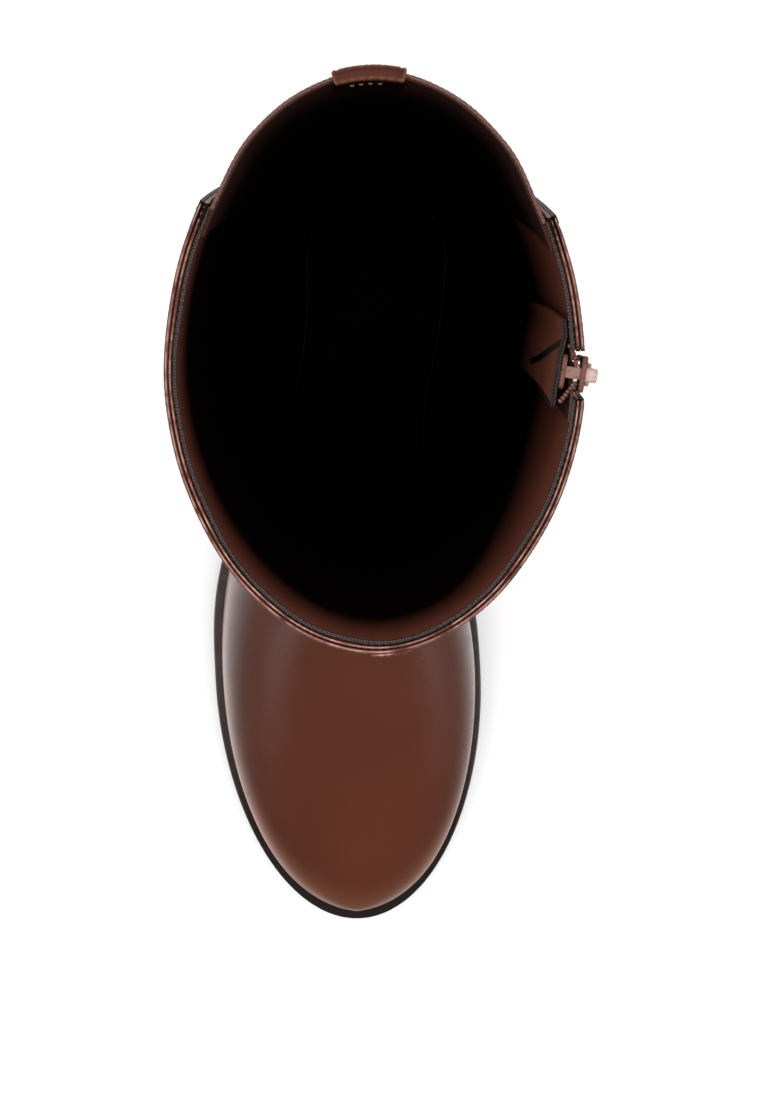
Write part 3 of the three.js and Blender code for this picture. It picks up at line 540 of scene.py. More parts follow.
def effect(name, inputs, outputs):
    """A shader node group: inputs is {name: (kind, default)} and outputs is {name: kind}."""
    tree = bpy.data.node_groups.new(name, "ShaderNodeTree")
    for key, (kind, default) in inputs.items():
        socket = tree.interface.new_socket(key, in_out="INPUT", socket_type="NodeSocket" + kind)
        if default is not None:
            socket.default_value = default
    for key, kind in outputs.items():
        tree.interface.new_socket(key, in_out="OUTPUT", socket_type="NodeSocket" + kind)
    work = Finish(name, tree)
    given = work.node("GroupInput").outputs
    result = work.node("GroupOutput")
    return tree, work, given, result


def grain_effect():
    """Leather grain: fine pebbles from the distance to the nearest of scattered points, worn away
    in slow patches. Gives the relief and a slow colour variation."""
    tree, work, given, result = effect(
        "leather_grain",
        {"Vector": ("Vector", None), "Pebble": ("Float", 900.0), "Patch": ("Float", 14.0)},
        {"Relief": "Float", "Cloud": "Float"})
    warp = work.node("TexNoise", {"Vector": given["Vector"], "Scale": 120.0, "Detail": 2.0})
    moved = work.node("VectorMath", operation="MULTIPLY_ADD")
    work.put(moved.inputs[0], warp.outputs["Color"])
    work.put(moved.inputs[1], (0.002, 0.002, 0.002))
    work.put(moved.inputs[2], given["Vector"])
    pebbles = work.node("TexVoronoi", {"Vector": moved.outputs[0], "Scale": given["Pebble"]})
    cloud = work.node("TexNoise", {"Vector": given["Vector"], "Scale": given["Patch"], "Detail": 3.0})
    fade = work.span(cloud.outputs["Fac"], 0.35, 0.7, 0.35, 1.0)
    work.put(result.inputs["Relief"], work.math("MULTIPLY", pebbles.outputs["Distance"], fade))
    work.put(result.inputs["Cloud"], cloud.outputs["Fac"])
    return tree


def weave_effect():
    """Plain weave on the piece's own millimetres: two crossed waves, each thread over or under by
    turns. Gives the relief and a fleck that differs from thread to thread."""
    tree, work, given, result = effect(
        "weave",
        {"Place": ("Vector", None), "Pitch": ("Float", 0.6)},
        {"Relief": "Float", "Fleck": "Float"})
    turns = work.math("DIVIDE", math.pi, given["Pitch"])
    parts = work.node("SeparateXYZ", {"Vector": given["Place"]}).outputs
    across = work.math("SINE", work.math("MULTIPLY", parts["X"], turns))
    length = work.math("SINE", work.math("MULTIPLY", parts["Y"], turns))
    product = work.math("MULTIPLY", across, length)
    work.put(result.inputs["Relief"], work.math("ABSOLUTE", product))
    fleck = work.node("TexNoise", {"Vector": given["Place"], "Scale": 2.2, "Detail": 2.0})
    work.put(result.inputs["Fleck"], fleck.outputs["Fac"])
    return tree


def scuff_effect():
    """Fine scratches and rubbed patches: stretched noise, kept only where it is highest."""
    tree, work, given, result = effect(
        "scuffs", {"Vector": ("Vector", None), "Scale": ("Float", 60.0)}, {"Mask": "Float"})
    stretched = work.node("Mapping", {"Vector": given["Vector"], "Scale": (1.0, 5.0, 1.0)})
    scratches = work.node("TexNoise", {
        "Vector": stretched.outputs[0], "Scale": given["Scale"], "Detail": 5.0, "Roughness": 0.7})
    work.put(result.inputs["Mask"], work.span(scratches.outputs["Fac"], 0.52, 0.75))
    return tree


GRAIN = grain_effect()
WEAVE = weave_effect()
SCUFFS = scuff_effect()
# Tan of burnished leather, also used as a painted highlight
BURNISH_AND_HIGHLIGHT_TAN = rgb(172, 116, 82)
# Near-black brown for edge paint and painted shade, blended in by the shadow mask
EDGE_SHADOW = rgb(20, 10, 7)
FACING_BROWN = (rgb(150, 86, 67), rgb(126, 70, 55))
# Near-black painted shade further down inside the boot
PAINTED_SHADE_BLACK = rgb(8, 5, 4)
TOE_RUBBER = rgb(30, 23, 20)


def leather(name, dark, light, roughness=0.34, coat=0.06, crest_highlight=None, shine=None):
    """Smooth polished calf: two browns in slow clouds, tan where the burnish_and_painted_highlight mask
    says (burnished leather and painted highlight), EDGE_SHADOW where the shadow mask says (edge paint and
    painted shade), fine grain. With `crest_highlight` the top of a rolled edge gets a paler painted
    highlight, in uneven patches. The polish is the gloss mask, or `shine` when given, less what the shadow
    mask takes away."""
    finish = Finish(name)
    vector = finish.coords()
    grain = finish.group(GRAIN, {"Vector": vector, "Pebble": 1100.0, "Patch": 16.0})
    scuffs = finish.group(SCUFFS, {"Vector": vector, "Scale": 45.0})
    cloud = finish.span(grain["Cloud"], 0.3, 0.7)
    colour = finish.blend(cloud, dark, light)
    colour = finish.blend(finish.attribute("burnish_and_painted_highlight"), colour, BURNISH_AND_HIGHLIGHT_TAN)
    colour = finish.blend(finish.attribute("shadow"), colour, EDGE_SHADOW)
    if crest_highlight is not None:
        height = finish.node("SeparateXYZ", {"Vector": finish.attribute("place", "Vector")}).outputs["Z"]
        patchy = finish.node("TexNoise", {"Vector": vector, "Scale": 260.0, "Detail": 3.0}).outputs["Fac"]
        # Painted highlight along the top of the bead, broken into patches
        rubbed = finish.math("MULTIPLY", finish.span(height, 0.84, 1.0), finish.span(patchy, 0.36, 0.66))
        colour = finish.blend(rubbed, colour, crest_highlight)
    rough = finish.span(grain["Cloud"], 0.3, 0.7, roughness - 0.04, roughness + 0.05)
    rough = finish.math("ADD", rough, finish.math("MULTIPLY", scuffs["Mask"], 0.06))
    rough = finish.math("ADD", rough, finish.math("MULTIPLY", finish.attribute("shadow"), 0.5))
    polish = finish.attribute("gloss") if shine is None else shine
    lit = finish.span(finish.attribute("shadow"), 0.0, 0.7, 0.5, 0.02)
    finish.shade(
        base_color=colour, roughness=rough, coat_weight=finish.math("MULTIPLY", lit, coat),
        coat_roughness=0.16, ior=1.48, specular_ior_level=finish.math("MULTIPLY", lit, polish))
    finish.bump(grain["Relief"], 0.00006)
    return finish.material


def cloth(name, dark, light, pitch=0.7, roughness=0.85, relief=0.0002, painted_shade=None, inner_only=True):
    """Woven tape or elastic: the weave's relief, and threads that differ a little in tone. With
    `painted_shade` it darkens to that colour below the collar, a painted shade inside the shaft, on the
    inner side only unless told otherwise."""
    finish = Finish(name)
    weave = finish.group(WEAVE, {"Place": finish.attribute("place", "Vector"), "Pitch": pitch})
    share = finish.math("MULTIPLY", weave["Fleck"], finish.span(weave["Relief"], 0.0, 1.0, 0.55, 1.2))
    colour = finish.blend(finish.span(share, 0.1, 0.65), dark, light)
    if painted_shade is not None:
        height = finish.node("SeparateXYZ", {"Vector": finish.coords()}).outputs["Z"]
        painted_shade_share = finish.span(height, 0.4, 0.352)
        if inner_only:
            painted_shade_share = finish.math("MULTIPLY", painted_shade_share, finish.attribute("inside"))
        colour = finish.blend(painted_shade_share, colour, painted_shade)
    rough = finish.span(weave["Relief"], 0.0, 1.0, roughness + 0.08, roughness - 0.05)
    finish.shade(base_color=colour, roughness=rough)
    finish.bump(weave["Relief"], relief)
    return finish.material


def lining_finish(name, lit_facing_mask):
    """Inside of the boot: brown leather below the collar, then black-brown painted shade over the lining.
    The mask is the attribute that says how much of the brown leather's colour shows."""
    finish = Finish(name)
    vector = finish.coords()
    grain = finish.group(GRAIN, {"Vector": vector, "Pebble": 800.0, "Patch": 22.0})
    lit_facing = finish.blend(finish.span(grain["Cloud"], 0.35, 0.8), *FACING_BROWN)
    colour = finish.blend(finish.attribute(lit_facing_mask), PAINTED_SHADE_BLACK, lit_facing)
    finish.shade(base_color=colour, roughness=finish.span(grain["Cloud"], 0.3, 0.7, 0.5, 0.62))
    finish.bump(grain["Relief"], 0.00008)
    return finish.material


def rubber(name, dark, light, layers=0.0):
    """Moulded sole: dark, a little paler and duller where it is rubbed, browner at the toe, with
    lift lines when asked."""
    finish = Finish(name)
    vector = finish.coords()
    scuffs = finish.group(SCUFFS, {"Vector": vector, "Scale": 90.0})
    speck = finish.node("TexNoise", {"Vector": vector, "Scale": 1400.0, "Detail": 2.0}).outputs["Fac"]
    toe = finish.span(finish.node("SeparateXYZ", {"Vector": vector}).outputs["Y"], -0.15, -0.205)
    colour = finish.blend(scuffs["Mask"], dark, light)
    colour = finish.blend(toe, colour, TOE_RUBBER)
    finish.shade(
        base_color=colour, roughness=finish.span(scuffs["Mask"], 0.0, 1.0, 0.46, 0.62), ior=1.5)
    relief = finish.math("MULTIPLY", speck, 0.25)
    if layers:
        height = finish.node("SeparateXYZ", {"Vector": vector}).outputs["Z"]
        wave = finish.math("SINE", finish.math("MULTIPLY", height, math.tau / layers))
        relief = finish.math("ADD", relief, finish.span(wave, 0.93, 1.0, 0.0, -1.0))
    finish.bump(relief, 0.00015)
    return finish.material


def metal(name, colour, tarnish, roughness=0.24):
    """Plated zip metal: the plating, darker in its scattered scratches."""
    finish = Finish(name)
    vector = finish.coords()
    scuffs = finish.group(SCUFFS, {"Vector": vector, "Scale": 500.0})
    finish.shade(
        base_color=finish.blend(scuffs["Mask"], colour, tarnish),
        roughness=finish.span(scuffs["Mask"], 0.0, 1.0, roughness, roughness + 0.2), metallic=0.45)
    finish.bump(scuffs["Mask"], 0.00002)
    return finish.material


def thread_finish(name, colour, light):
    """Sewing thread: twisted strands as fine waves through the object."""
    finish = Finish(name)
    vector = finish.coords()
    waves = finish.node("TexWave", {"Vector": vector, "Scale": 700.0, "Distortion": 2.0})
    finish.shade(
        base_color=finish.blend(waves.outputs["Fac"], colour, light),
        roughness=finish.span(waves.outputs["Fac"], 0.0, 1.0, 0.7, 0.5))
    finish.bump(waves.outputs["Fac"], 0.0001)
    return finish.material


LEATHER = leather("boot_leather", rgb(76, 39, 26), rgb(85, 44, 30))
# Rolled collar edges: crest_highlight is the paler painted highlight along the top of each bead
FOLDED_LEATHER = leather(
    "folded_leather_edge", rgb(62, 33, 25), rgb(86, 48, 38), 0.36, 0.08,
    crest_highlight=rgb(184, 142, 128), shine=0.7)
TAB_LEATHER = leather("tab_leather", rgb(48, 24, 18), rgb(74, 39, 31), 0.3, 0.2, shine=0.5)
LINING = lining_finish("lining_leather", "lit_facing")
GREY_TAPE = cloth("grey_binding_tape", rgb(18, 14, 14), rgb(88, 80, 77), 0.8, 0.9, 0.0004)
DARK_BINDING = cloth(
    "dark_binding", rgb(16, 14, 14), rgb(62, 56, 56), 0.8, 0.9, painted_shade=rgb(2, 2, 2), inner_only=False)
ZIP_CLOTH = cloth("zip_tape_cloth", rgb(46, 28, 23), rgb(84, 58, 50), 0.6, painted_shade=rgb(5, 3, 3))
ELASTIC = cloth("elastic_rib", rgb(24, 12, 9), rgb(72, 42, 34), 0.5, 0.9, 0.00025, painted_shade=rgb(6, 3, 2))
ELASTIC_EDGE = cloth("elastic_edge", rgb(28, 13, 10), rgb(150, 112, 102), 0.55, 0.85, 0.0003)
OUTSOLE_RUBBER = rubber("outsole_rubber", rgb(40, 34, 32), rgb(66, 58, 55))
WELT_RUBBER = rubber("welt_rubber", rgb(58, 50, 49), rgb(84, 74, 72))
HEEL_RUBBER = rubber("heel_lifts", rgb(36, 30, 28), rgb(58, 50, 47), 0.0042)
COIL_NYLON = thread_finish("coil_nylon", rgb(92, 52, 44), rgb(150, 104, 92))
THREAD = thread_finish("brown_thread", rgb(96, 60, 48), rgb(150, 108, 90))
METAL = metal("plated_metal", rgb(214, 184, 174), rgb(140, 100, 88), 0.35)
# Darker copy of the plating for the slider's plates and flanges: painted shade
SHADED_METAL = metal("shade_painted_metal", rgb(124, 84, 72), rgb(60, 36, 30), 0.42)
# Darker copy of the plating: painted shade on the slider's post between the plates, and the darker inlay of
# the pull
DARK_METAL = metal("inlay_and_shaded_metal", rgb(150, 116, 104), rgb(84, 60, 52), 0.4)


# ---------------------------------------------------------------- upper

COLUMNS = {"gore": 13, "lateral": 78, "medial_front": 54, "slit": 6, "medial_back": 24}


def joined(*stretches):
    """Stretches end to end, each start counted once."""
    return np.concatenate([stretches[0]] + [stretch[1:] for stretch in stretches[1:]])


UPPER_ROWS = joined(
    57 * np.linspace(0, 1, 27) ** 1.5, np.linspace(57, SEAM_AT, 85),
    np.linspace(SEAM_AT, GORE_FOOT_AT, 25), np.linspace(GORE_FOOT_AT, COLLAR_AT - 4, 92),
    COLLAR_AT - np.array([4, 2.6, 1.5, 0.7, 0.25, 0]))


def stretch(start, end, count):
    """Even steps from one array of places to another, with the last one left out."""
    return start + (end - start) * np.arange(count) / count


def upper_columns(rows):
    """u of every column at every row: even in the foot, along the zip's and gore's edges in the
    shaft, with a smooth change between."""
    along = rows[:, None]
    lateral, medial = gore_line(along, -1), gore_line(along, 1)
    front, back = zip_line(along, -SLIT_HALF_WIDTH), zip_line(along, SLIT_HALF_WIDTH)
    zero, one = 0 * along, 0 * along + 1
    lines = np.concatenate([
        stretch(-one, lateral, COLUMNS["gore"]), stretch(lateral, zero, COLUMNS["lateral"]),
        stretch(zero, front, COLUMNS["medial_front"]), stretch(front, back, COLUMNS["slit"]),
        stretch(back, medial, COLUMNS["medial_back"]), stretch(medial, one, COLUMNS["gore"]), one], 1)
    count = lines.shape[1] - 1
    zero_column = COLUMNS["gore"] + COLUMNS["lateral"]
    index = np.arange(count + 1)
    even = np.where(
        index <= zero_column, index / zero_column - 1, (index - zero_column) / (count - zero_column))
    return mix(even[None, :], lines, smooth(along, BALL_AT, SEAM_AT))


def vamp_seam(u):
    """Where along the boot the shaft's leather ends on the vamp."""
    return 196 + 34 * u ** 2


CREASES = ((176, 10, 0.35), (206, 16, 0.5), (238, 22, 0.55), (268, 26, 0.45))  # place, bend, height
CREASE_WIDTH = 5.5
COUNTER_TOP_AT = GORE_FOOT_AT - 30


def upper_relief(u, along):
    """How far the leather stands out from the plain surface, in millimetres: bell-shaped creases
    across the instep and the ankle, slow sine waves down the shaft, and smooth steps at the edges of
    its panels and at the back seam."""
    side = np.abs(u)
    creases = 0
    for place, bend, height in CREASES:
        line = place + bend * side ** 1.5 + 3 * np.sin(3 * u)
        creases = creases - height * bump(along, line, CREASE_WIDTH) * bump(side, 0.12, 0.36)
        creases = creases + 0.6 * height * bump(along, line + 11, 7) * bump(side, 0.12, 0.36)
    shaft = smooth(along, 300, 400)
    waves = 0.45 * np.sin(along / 41 + 1.4 * np.sin(math.pi * u)) * np.cos(math.pi * u + along / 120)
    waves = waves * shaft * (1 - smooth(along, COLLAR_AT - 60, COLLAR_AT - 10))
    ankle = -0.5 * bump(along, 330 + 14 * np.cos(math.pi * u), 9) * bump(side, 0.55, 0.3)
    step = 0.55 * smooth(along, vamp_seam(u) - 0.8, vamp_seam(u) + 0.8)
    step = step * (1 - smooth(along, vamp_seam(u) + 14, vamp_seam(u) + 60))
    counter_edge = 0.80 + 0.10 * smooth(along, 263, 330)
    counter = 0.5 * smooth(side, counter_edge - 0.004, counter_edge + 0.004)
    counter = counter * smooth(along, 236, 240) * (1 - smooth(along, COUNTER_TOP_AT, COUNTER_TOP_AT + 3))
    seam = -0.35 * bump(side, 1, 0.006) * smooth(along, SEAM_AT, SEAM_AT + 3)
    return creases + waves + ankle + step + counter + seam


NO_EDGE = 99


def edge_distance(u, along):
    """Millimetres across the boot to the nearest cut edge of the leather, at the zip or at the gore."""
    pitch = per_millimetre(u, along)
    to_zip = np.abs(np.abs(u - zip_line(along, 0)) / pitch - SLIT_HALF_WIDTH)
    to_gore = np.minimum(
        np.abs(u - gore_line(along, 1)), np.abs(u - gore_line(along, -1))) / pitch
    to_gore = np.where(along < GORE_FOOT_AT - 2, NO_EDGE, to_gore)
    return np.minimum(np.where(along < ZIP_FOOT_AT - 2, NO_EDGE, to_zip), to_gore)


def edge_relief(u, along):
    """A soft roll along the cut edges and a shallow channel under each row of stitches."""
    edge = edge_distance(u, along)
    return 0.15 * bump(edge, 1.4, 1.2) - 0.22 * bump(edge, 2.6, 0.7)


upper_u = upper_columns(UPPER_ROWS)
rows_grid = np.broadcast_to(UPPER_ROWS[:, None], upper_u.shape)
upper_normal = outward(upper_u, rows_grid)
upper_surface = surface(upper_u, rows_grid)
relief = upper_relief(upper_u, rows_grid)
relief = np.where(rows_grid > SEAM_AT - 1, relief + edge_relief(upper_u, rows_grid), relief)

column = np.arange(upper_u.shape[1] - 1)[None, :]
row_start = UPPER_ROWS[:-1, None]
slit_start = COLUMNS["gore"] + COLUMNS["lateral"] + COLUMNS["medial_front"]
in_slit = (column >= slit_start) & (column < slit_start + COLUMNS["slit"]) & (row_start >= ZIP_FOOT_AT)
in_gore = (column < COLUMNS["gore"]) | (column >= upper_u.shape[1] - 1 - COLUMNS["gore"])
in_gore = in_gore & (row_start >= GORE_FOOT_AT)
leather_cells = ~(in_slit | in_gore)

LEATHER_DEPTH = 0.95
LINING_OUT = 1.1
LINING_IN = WALL - 0.05
COLLAR_ROUND = 0.45
COLLAR_ROUND_REACH = 1.4


def skin_point(depth, lift=0.0):
    """Upper's grid at a depth, raised by a lift."""
    point = upper_surface - upper_normal * np.asarray(depth)[..., None]
    point[..., 2] += lift
    return point


# the wall's edge is rounded at the collar by R*(1 - sqrt(1 - t^2))
round_share = np.clip(1 - (COLLAR_AT - rows_grid) / COLLAR_ROUND_REACH, 0, 1)
rounding = COLLAR_ROUND * (1 - np.sqrt(1 - round_share ** 2))
edge_gap = edge_distance(upper_u, rows_grid)
forward_place, height = upper_surface[..., 1], upper_surface[..., 2]
# Tan towards the toe just above the sole: burnished leather, with a painted highlight along the toe's rim
toe_share = smooth(forward_place, 60, 185) * (1 - 0.55 * smooth(forward_place, 205, 228))
above_sole = height - seat(forward_place)
burnish_and_painted_highlight = toe_share * (1 - smooth(above_sole, 7, 30)) * 0.95
# Darkening mask: edge paint along the cut edges at the zip and gore, darker just above the sole where the
# upper meets the welt, and painted shade on the collar's top face against the light from above
edge_paint_and_shade = np.maximum(0.4 * (1 - smooth(edge_gap, 0, 1.2)), (1 - smooth(above_sole, 0, 3.0)) * 0.5)
edge_paint_and_shade = np.maximum(edge_paint_and_shade, 0.8 * smooth(rows_grid, COLLAR_AT - COLLAR_ROUND_REACH, COLLAR_AT - 0.3))
gloss = 1 - 0.72 * smooth(height, 70, 150)
gloss = gloss * mix(1.5, 0.25, smooth(forward_place, 115, 200))
upper_leather = closed_body(
    "upper_leather",
    skin_point(rounding - relief),
    skin_point(LEATHER_DEPTH - 0.3 * rounding - np.minimum(relief, 0.3)),
    leather_cells, {"burnish_and_painted_highlight": burnish_and_painted_highlight, "shadow": edge_paint_and_shade, "gloss": gloss})
finish_piece(upper_leather, replaces=["upper"], materials=[LEATHER])

# second layer: the lining, brown at the collar and darkening into painted shade below it
lining = closed_body(
    "upper_lining",
    skin_point(LINING_OUT + 0.3 * rounding, -0.2 * (rows_grid >= COLLAR_AT)),
    skin_point(LINING_IN - rounding), leather_cells,
    {"lit_facing": lit_facing_share(upper_u, rows_grid)})
finish_piece(lining, materials=[LINING])


BEAD_SIDES = 12
BEAD_AT_GORE = 0.62            # of its full width, where it runs out at the gore
BEAD_NARROWING = 14            # length over which it narrows to that


def collar_bead(name, run, depth, radius, finish, slot, lift, wave, puckers):
    """Rolled edge along the top of the collar: a round profile carried along the collar at a depth.
    Its depth sways by two slow sines, and the puckers are a short sine on its radius."""
    u = run[:, None]
    angle = np.linspace(0, math.tau, BEAD_SIDES + 1)[:-1][None, :]
    steps = np.linalg.norm(np.diff(surface(run, COLLAR_AT), axis=0), axis=1)
    girth = np.cumsum(np.concatenate([[0], steps]))[:, None]
    sway = wave * (np.sin(girth / 9.0) + 0.6 * np.sin(girth / 4.1 + 1))
    fold = 1 + puckers * np.sin(girth * math.tau / 1.9) * np.sin(girth / 7 + 0.5)
    to_gore = np.minimum(np.abs(u - gore_lateral_u), np.abs(u - gore_medial_u))
    to_gore = to_gore / per_millimetre(u, COLLAR_AT + 0 * u)
    narrowing = mix(BEAD_AT_GORE, 1, smooth(to_gore, 0, BEAD_NARROWING))
    centre = under(u, COLLAR_AT + 0 * u, depth + sway + 0 * u)
    out = outward(u, COLLAR_AT + 0 * u)
    end = np.clip(np.minimum(girth, girth[-1] - girth) / radius, 0, 1)
    swell = radius * fold * np.sqrt(1 - (1 - end) ** 2 * 0.9) * narrowing
    rings = centre + out * (swell * np.cos(angle))[..., None]
    rings[..., 2] += swell * np.sin(angle) * 0.9 + lift
    values = np.stack(np.broadcast_arrays(angle * radius, girth, np.sin(angle)), -1)
    return finish_piece(tube(name, rings[:, ::-1], values=values[:, ::-1]), materials=[finish])


BEAD_FROM_ZIP, BEAD_FROM_GORE = 0.2, 0.3
zip_front_u = float(zip_line(COLLAR_AT, -SLIT_HALF_WIDTH - BEAD_FROM_ZIP))
zip_back_u = float(zip_line(COLLAR_AT, SLIT_HALF_WIDTH + BEAD_FROM_ZIP))
gore_lateral_u = float(gore_line(COLLAR_AT, -1, BEAD_FROM_GORE))
gore_medial_u = float(gore_line(COLLAR_AT, 1, BEAD_FROM_GORE))
FRONT_RUN = np.linspace(gore_lateral_u, zip_front_u, 420)
BACK_RUN = np.linspace(zip_back_u, gore_medial_u, 90)
COLLAR_BEADS = (               # depth, radius, finish, slot, lift, wave and puckers
    ("collar_edge_outer", 0.5, 0.5, FOLDED_LEATHER, "leather", -0.2, 0.07, 0.06),
    ("collar_edge_inner", 1.55, 0.44, FOLDED_LEATHER, "leather", -0.3, 0.1, 0.14),
    ("collar_tape", 2.7, 0.56, GREY_TAPE, "lining", -1.0, 0.2, 0.25))
for tag, run in (("front", FRONT_RUN), ("back", BACK_RUN)):
    for bead, *shape in COLLAR_BEADS:
        collar_bead(f"{bead}_{tag}", run, *shape)


# ---------------------------------------------------------------- sole

ROUND_STEPS = np.array([0, 0.08, 0.28, 0.6, 1.0])
INNER_COLUMNS = 40


def from_edges(x):
    """Distance across each row to the nearer of its two ends."""
    to_start = np.cumsum(np.abs(np.diff(x, axis=1, prepend=x[:, :1])), 1)
    to_end = np.cumsum(np.abs(np.diff(x, axis=1, append=x[:, -1:]))[:, ::-1], 1)[:, ::-1]
    return np.minimum(to_start, to_end)


def slab(name, alongs, top, bottom, inset_top, inset_bottom, round_top, round_bottom, groove=None):
    """Flat body with the sole's outline: rows are places along the boot and columns go from the outer
    edge to the inner one. Near an edge the height falls by R*(1 - sqrt(1 - (1 - inset/R)^2))."""
    def grid(height, inset, radius, sign):
        """One face of the slab: sign -1 is its top and sign 1 its underside."""
        reach = max(radius, 0.5)
        edges = {side: [sole_edge(alongs, side, inset(alongs, side) + near) for near in ROUND_STEPS * reach]
                 for side in (-1, 1)}
        lateral, medial = edges[-1][-1], edges[1][-1]
        inner = [(mix(lateral[0], medial[0], share), mix(lateral[1], medial[1], share))
                 for share in np.linspace(0, 1, INNER_COLUMNS + 2)[1:-1]]
        columns = edges[-1] + inner + edges[1][::-1]
        drop = radius * (1 - np.sqrt(np.clip(1 - (1 - ROUND_STEPS) ** 2, 0, None)))
        drops = np.concatenate([drop, np.zeros(INNER_COLUMNS), drop[::-1]])
        x = np.stack([place for place, _ in columns], 1)
        f = np.stack([place for _, place in columns], 1)
        z = height(f) + sign * drops[None, :]
        if groove is not None and sign > 0:
            z = z + groove(f, from_edges(x))
        return np.stack([x, f, z], -1)

    front = grid(top, inset_top, round_top, -1)
    back = grid(bottom, inset_bottom, round_bottom, 1)
    return closed_body(name, front, back, sharp=35)


def level(value):
    """A height that is the same all over."""
    return lambda forward: value + 0 * forward


def step_inset(alongs, side):
    """Inset of the upper's lower edge."""
    return STEP_WIDTH[side](alongs)


def footbed_inset(alongs, side):
    """Inset of the footbed, just inside the wall."""
    return step_inset(alongs, side) + WALL + 0.5


def tread(first, pitch, count, width, depth, margin):
    """Cross grooves under the sole: a flat-bottomed trough at every pitch, fading out at the margins."""
    def relief(forward, from_edge):
        """Height of the grooves at a place."""
        place = forward - first
        index = np.clip(np.round(place / pitch), 0, count - 1)
        away = np.abs(place - index * pitch)
        trough = 1 - smooth(away, width / 2 - 0.25, width / 2 + 0.25)
        return depth * trough * smooth(from_edge, margin - 1, margin)
    return relief


def even_places(start, end, count):
    """Even places along the boot."""
    return start + (end - start) * np.linspace(0, 1, count)


HEEL_LIFTS_LOW = 7.15
TOP_PIECE_HIGH = 6.9
FOOTBED_THICKNESS = 3.0

# closer together at the toe's tip, where the outline turns fastest
toe_places = joined(BALL_AT * np.linspace(0, 1, 90) ** 1.25, even_places(BALL_AT, SEAM_AT, 230))
outsole = slab(
    "outsole_unit", toe_places, seat, underside, constant(0.0), constant(0.25), 0.9, 1.5,
    tread(87.5, 12.5, 11, 3.0, 2.4, 9))
finish_piece(outsole, replaces=["outsole"], materials=[OUTSOLE_RUBBER])

heel_places = even_places(HEEL_AT - HEEL_BREAST, SEAM_AT, 90)
heel_lifts = slab(
    "heel_lift_stack", heel_places, level(HEEL_BLOCK_HEIGHT - GAP), level(HEEL_LIFTS_LOW),
    constant(0.8), constant(2.0), 0.3, 0.3)
finish_piece(heel_lifts, replaces=["heel"], materials=[HEEL_RUBBER])
heel_tread = slab(
    "heel_top_piece_tread", heel_places, level(TOP_PIECE_HIGH), level(0),
    constant(2.0), constant(2.6), 0.3, 0.7, tread(-18, 9, 5, 2.4, 1.8, 7))
finish_piece(heel_tread, replaces=["heel_top_piece"], materials=[OUTSOLE_RUBBER])
# The footbed carries no lit_facing mask, so it is all painted shade in PAINTED_SHADE_BLACK
footbed = slab(
    "footbed", toe_places, lambda f: seat(f) + GAP + FOOTBED_THICKNESS, lambda f: seat(f) + GAP,
    footbed_inset, footbed_inset, 0.5, 0.0)
finish_piece(footbed, replaces=["insole"], materials=[LINING])

# welt: rounded strip on the sole's edge
welt_places = joined(BALL_AT * np.linspace(0, 1, 70) ** 1.2, even_places(BALL_AT, SEAM_AT, 130))
WELT_HEIGHT = 2.4
WELT_LIFT = 0.05
WELT_PROFILE = (               # inset and height, from the top's outer corner down to the foot
    (1.15, WELT_HEIGHT), (0.7, WELT_HEIGHT - 0.15), (0.45, WELT_HEIGHT - 0.6), (0.35, 0.9), (0.5, 0))


def welt_inner(alongs, side):
    """Inset of the welt's inner face: just clear of how far the upper bulges over its lower edge."""
    u = side * np.linspace(0.82, 1, 12)[None, :]
    points = surface(u, alongs[:, None])
    foot = points[:, -1:]
    normal = outward(side + 0 * alongs, alongs)[:, None]
    height = points[..., 2] - foot[..., 2]
    reach = ((points - foot) * normal).sum(-1)
    reach = np.where(height < WELT_HEIGHT + 0.4, reach, 0).max(1)
    return np.maximum(step_inset(alongs, side) - np.clip(reach, 0, None) - 0.15, 1.2)


def welt_sections(side):
    """Cross sections of the welt: inner foot, inner top, and the rounded outer profile."""
    inner = welt_inner(welt_places, side)
    points = []
    for inset, height in ((inner, 0), (inner, WELT_HEIGHT), *WELT_PROFILE):
        x, f = sole_edge(welt_places, side, inset)
        points.append(np.stack([x, f, seat(f) + WELT_LIFT + height], -1))
    return np.stack(points, 1)


welt_rings = np.concatenate([welt_sections(-1)[::-1], welt_sections(1)[1:-1]])
welt = tube("welt_strip", welt_rings, closed=True, sharp=50)
finish_piece(welt, replaces=["welt"], materials=[WELT_RUBBER])


# ---------------------------------------------------------------- stitches and the collar's gather

def stitches(name, starts, ends, up, radius, finish):
    """Row of stitches, each a short arch of thread: half a turn of a sine between its two ends, with
    six-sided rings that narrow at both ends."""
    share = np.array([0, 0.12, 0.35, 0.65, 0.88, 1.0])
    swell = np.array([0.35, 0.85, 1.0, 1.0, 0.85, 0.35])
    path = starts[:, None] + (ends - starts)[:, None] * share[None, :, None]
    path = path + up[:, None] * (radius * (1.4 * np.sin(math.pi * share) - 0.7))[None, :, None]
    direction = ends - starts
    direction = direction / np.linalg.norm(direction, axis=-1, keepdims=True)
    beside = np.cross(direction, up)
    angle = np.linspace(0, math.tau, 7)[:-1]
    ring = beside[:, None, None] * np.cos(angle)[None, None, :, None]
    ring = ring + up[:, None, None] * np.sin(angle)[None, None, :, None]
    points = path[:, :, None] + ring * (radius * swell)[None, :, None, None]
    count, rings, sides = points.shape[:3]
    base = (np.arange(count) * rings * sides)[:, None, None]
    i, j = np.arange(rings - 1)[None, :, None] * sides, np.arange(sides)[None, None, :]
    nearby = (j + 1) % sides
    ring_start = base + i
    walls = np.stack([
        ring_start + j, ring_start + nearby, ring_start + sides + nearby, ring_start + sides + j], -1)
    cap = np.arange(sides)[None, :] + base[:, 0]
    faces = [walls.reshape(-1, 4), cap[:, ::-1], cap + (rings - 1) * sides]
    obj = make_mesh(name, points.reshape(-1, 3), faces, 60)
    return finish_piece(obj, materials=[finish])


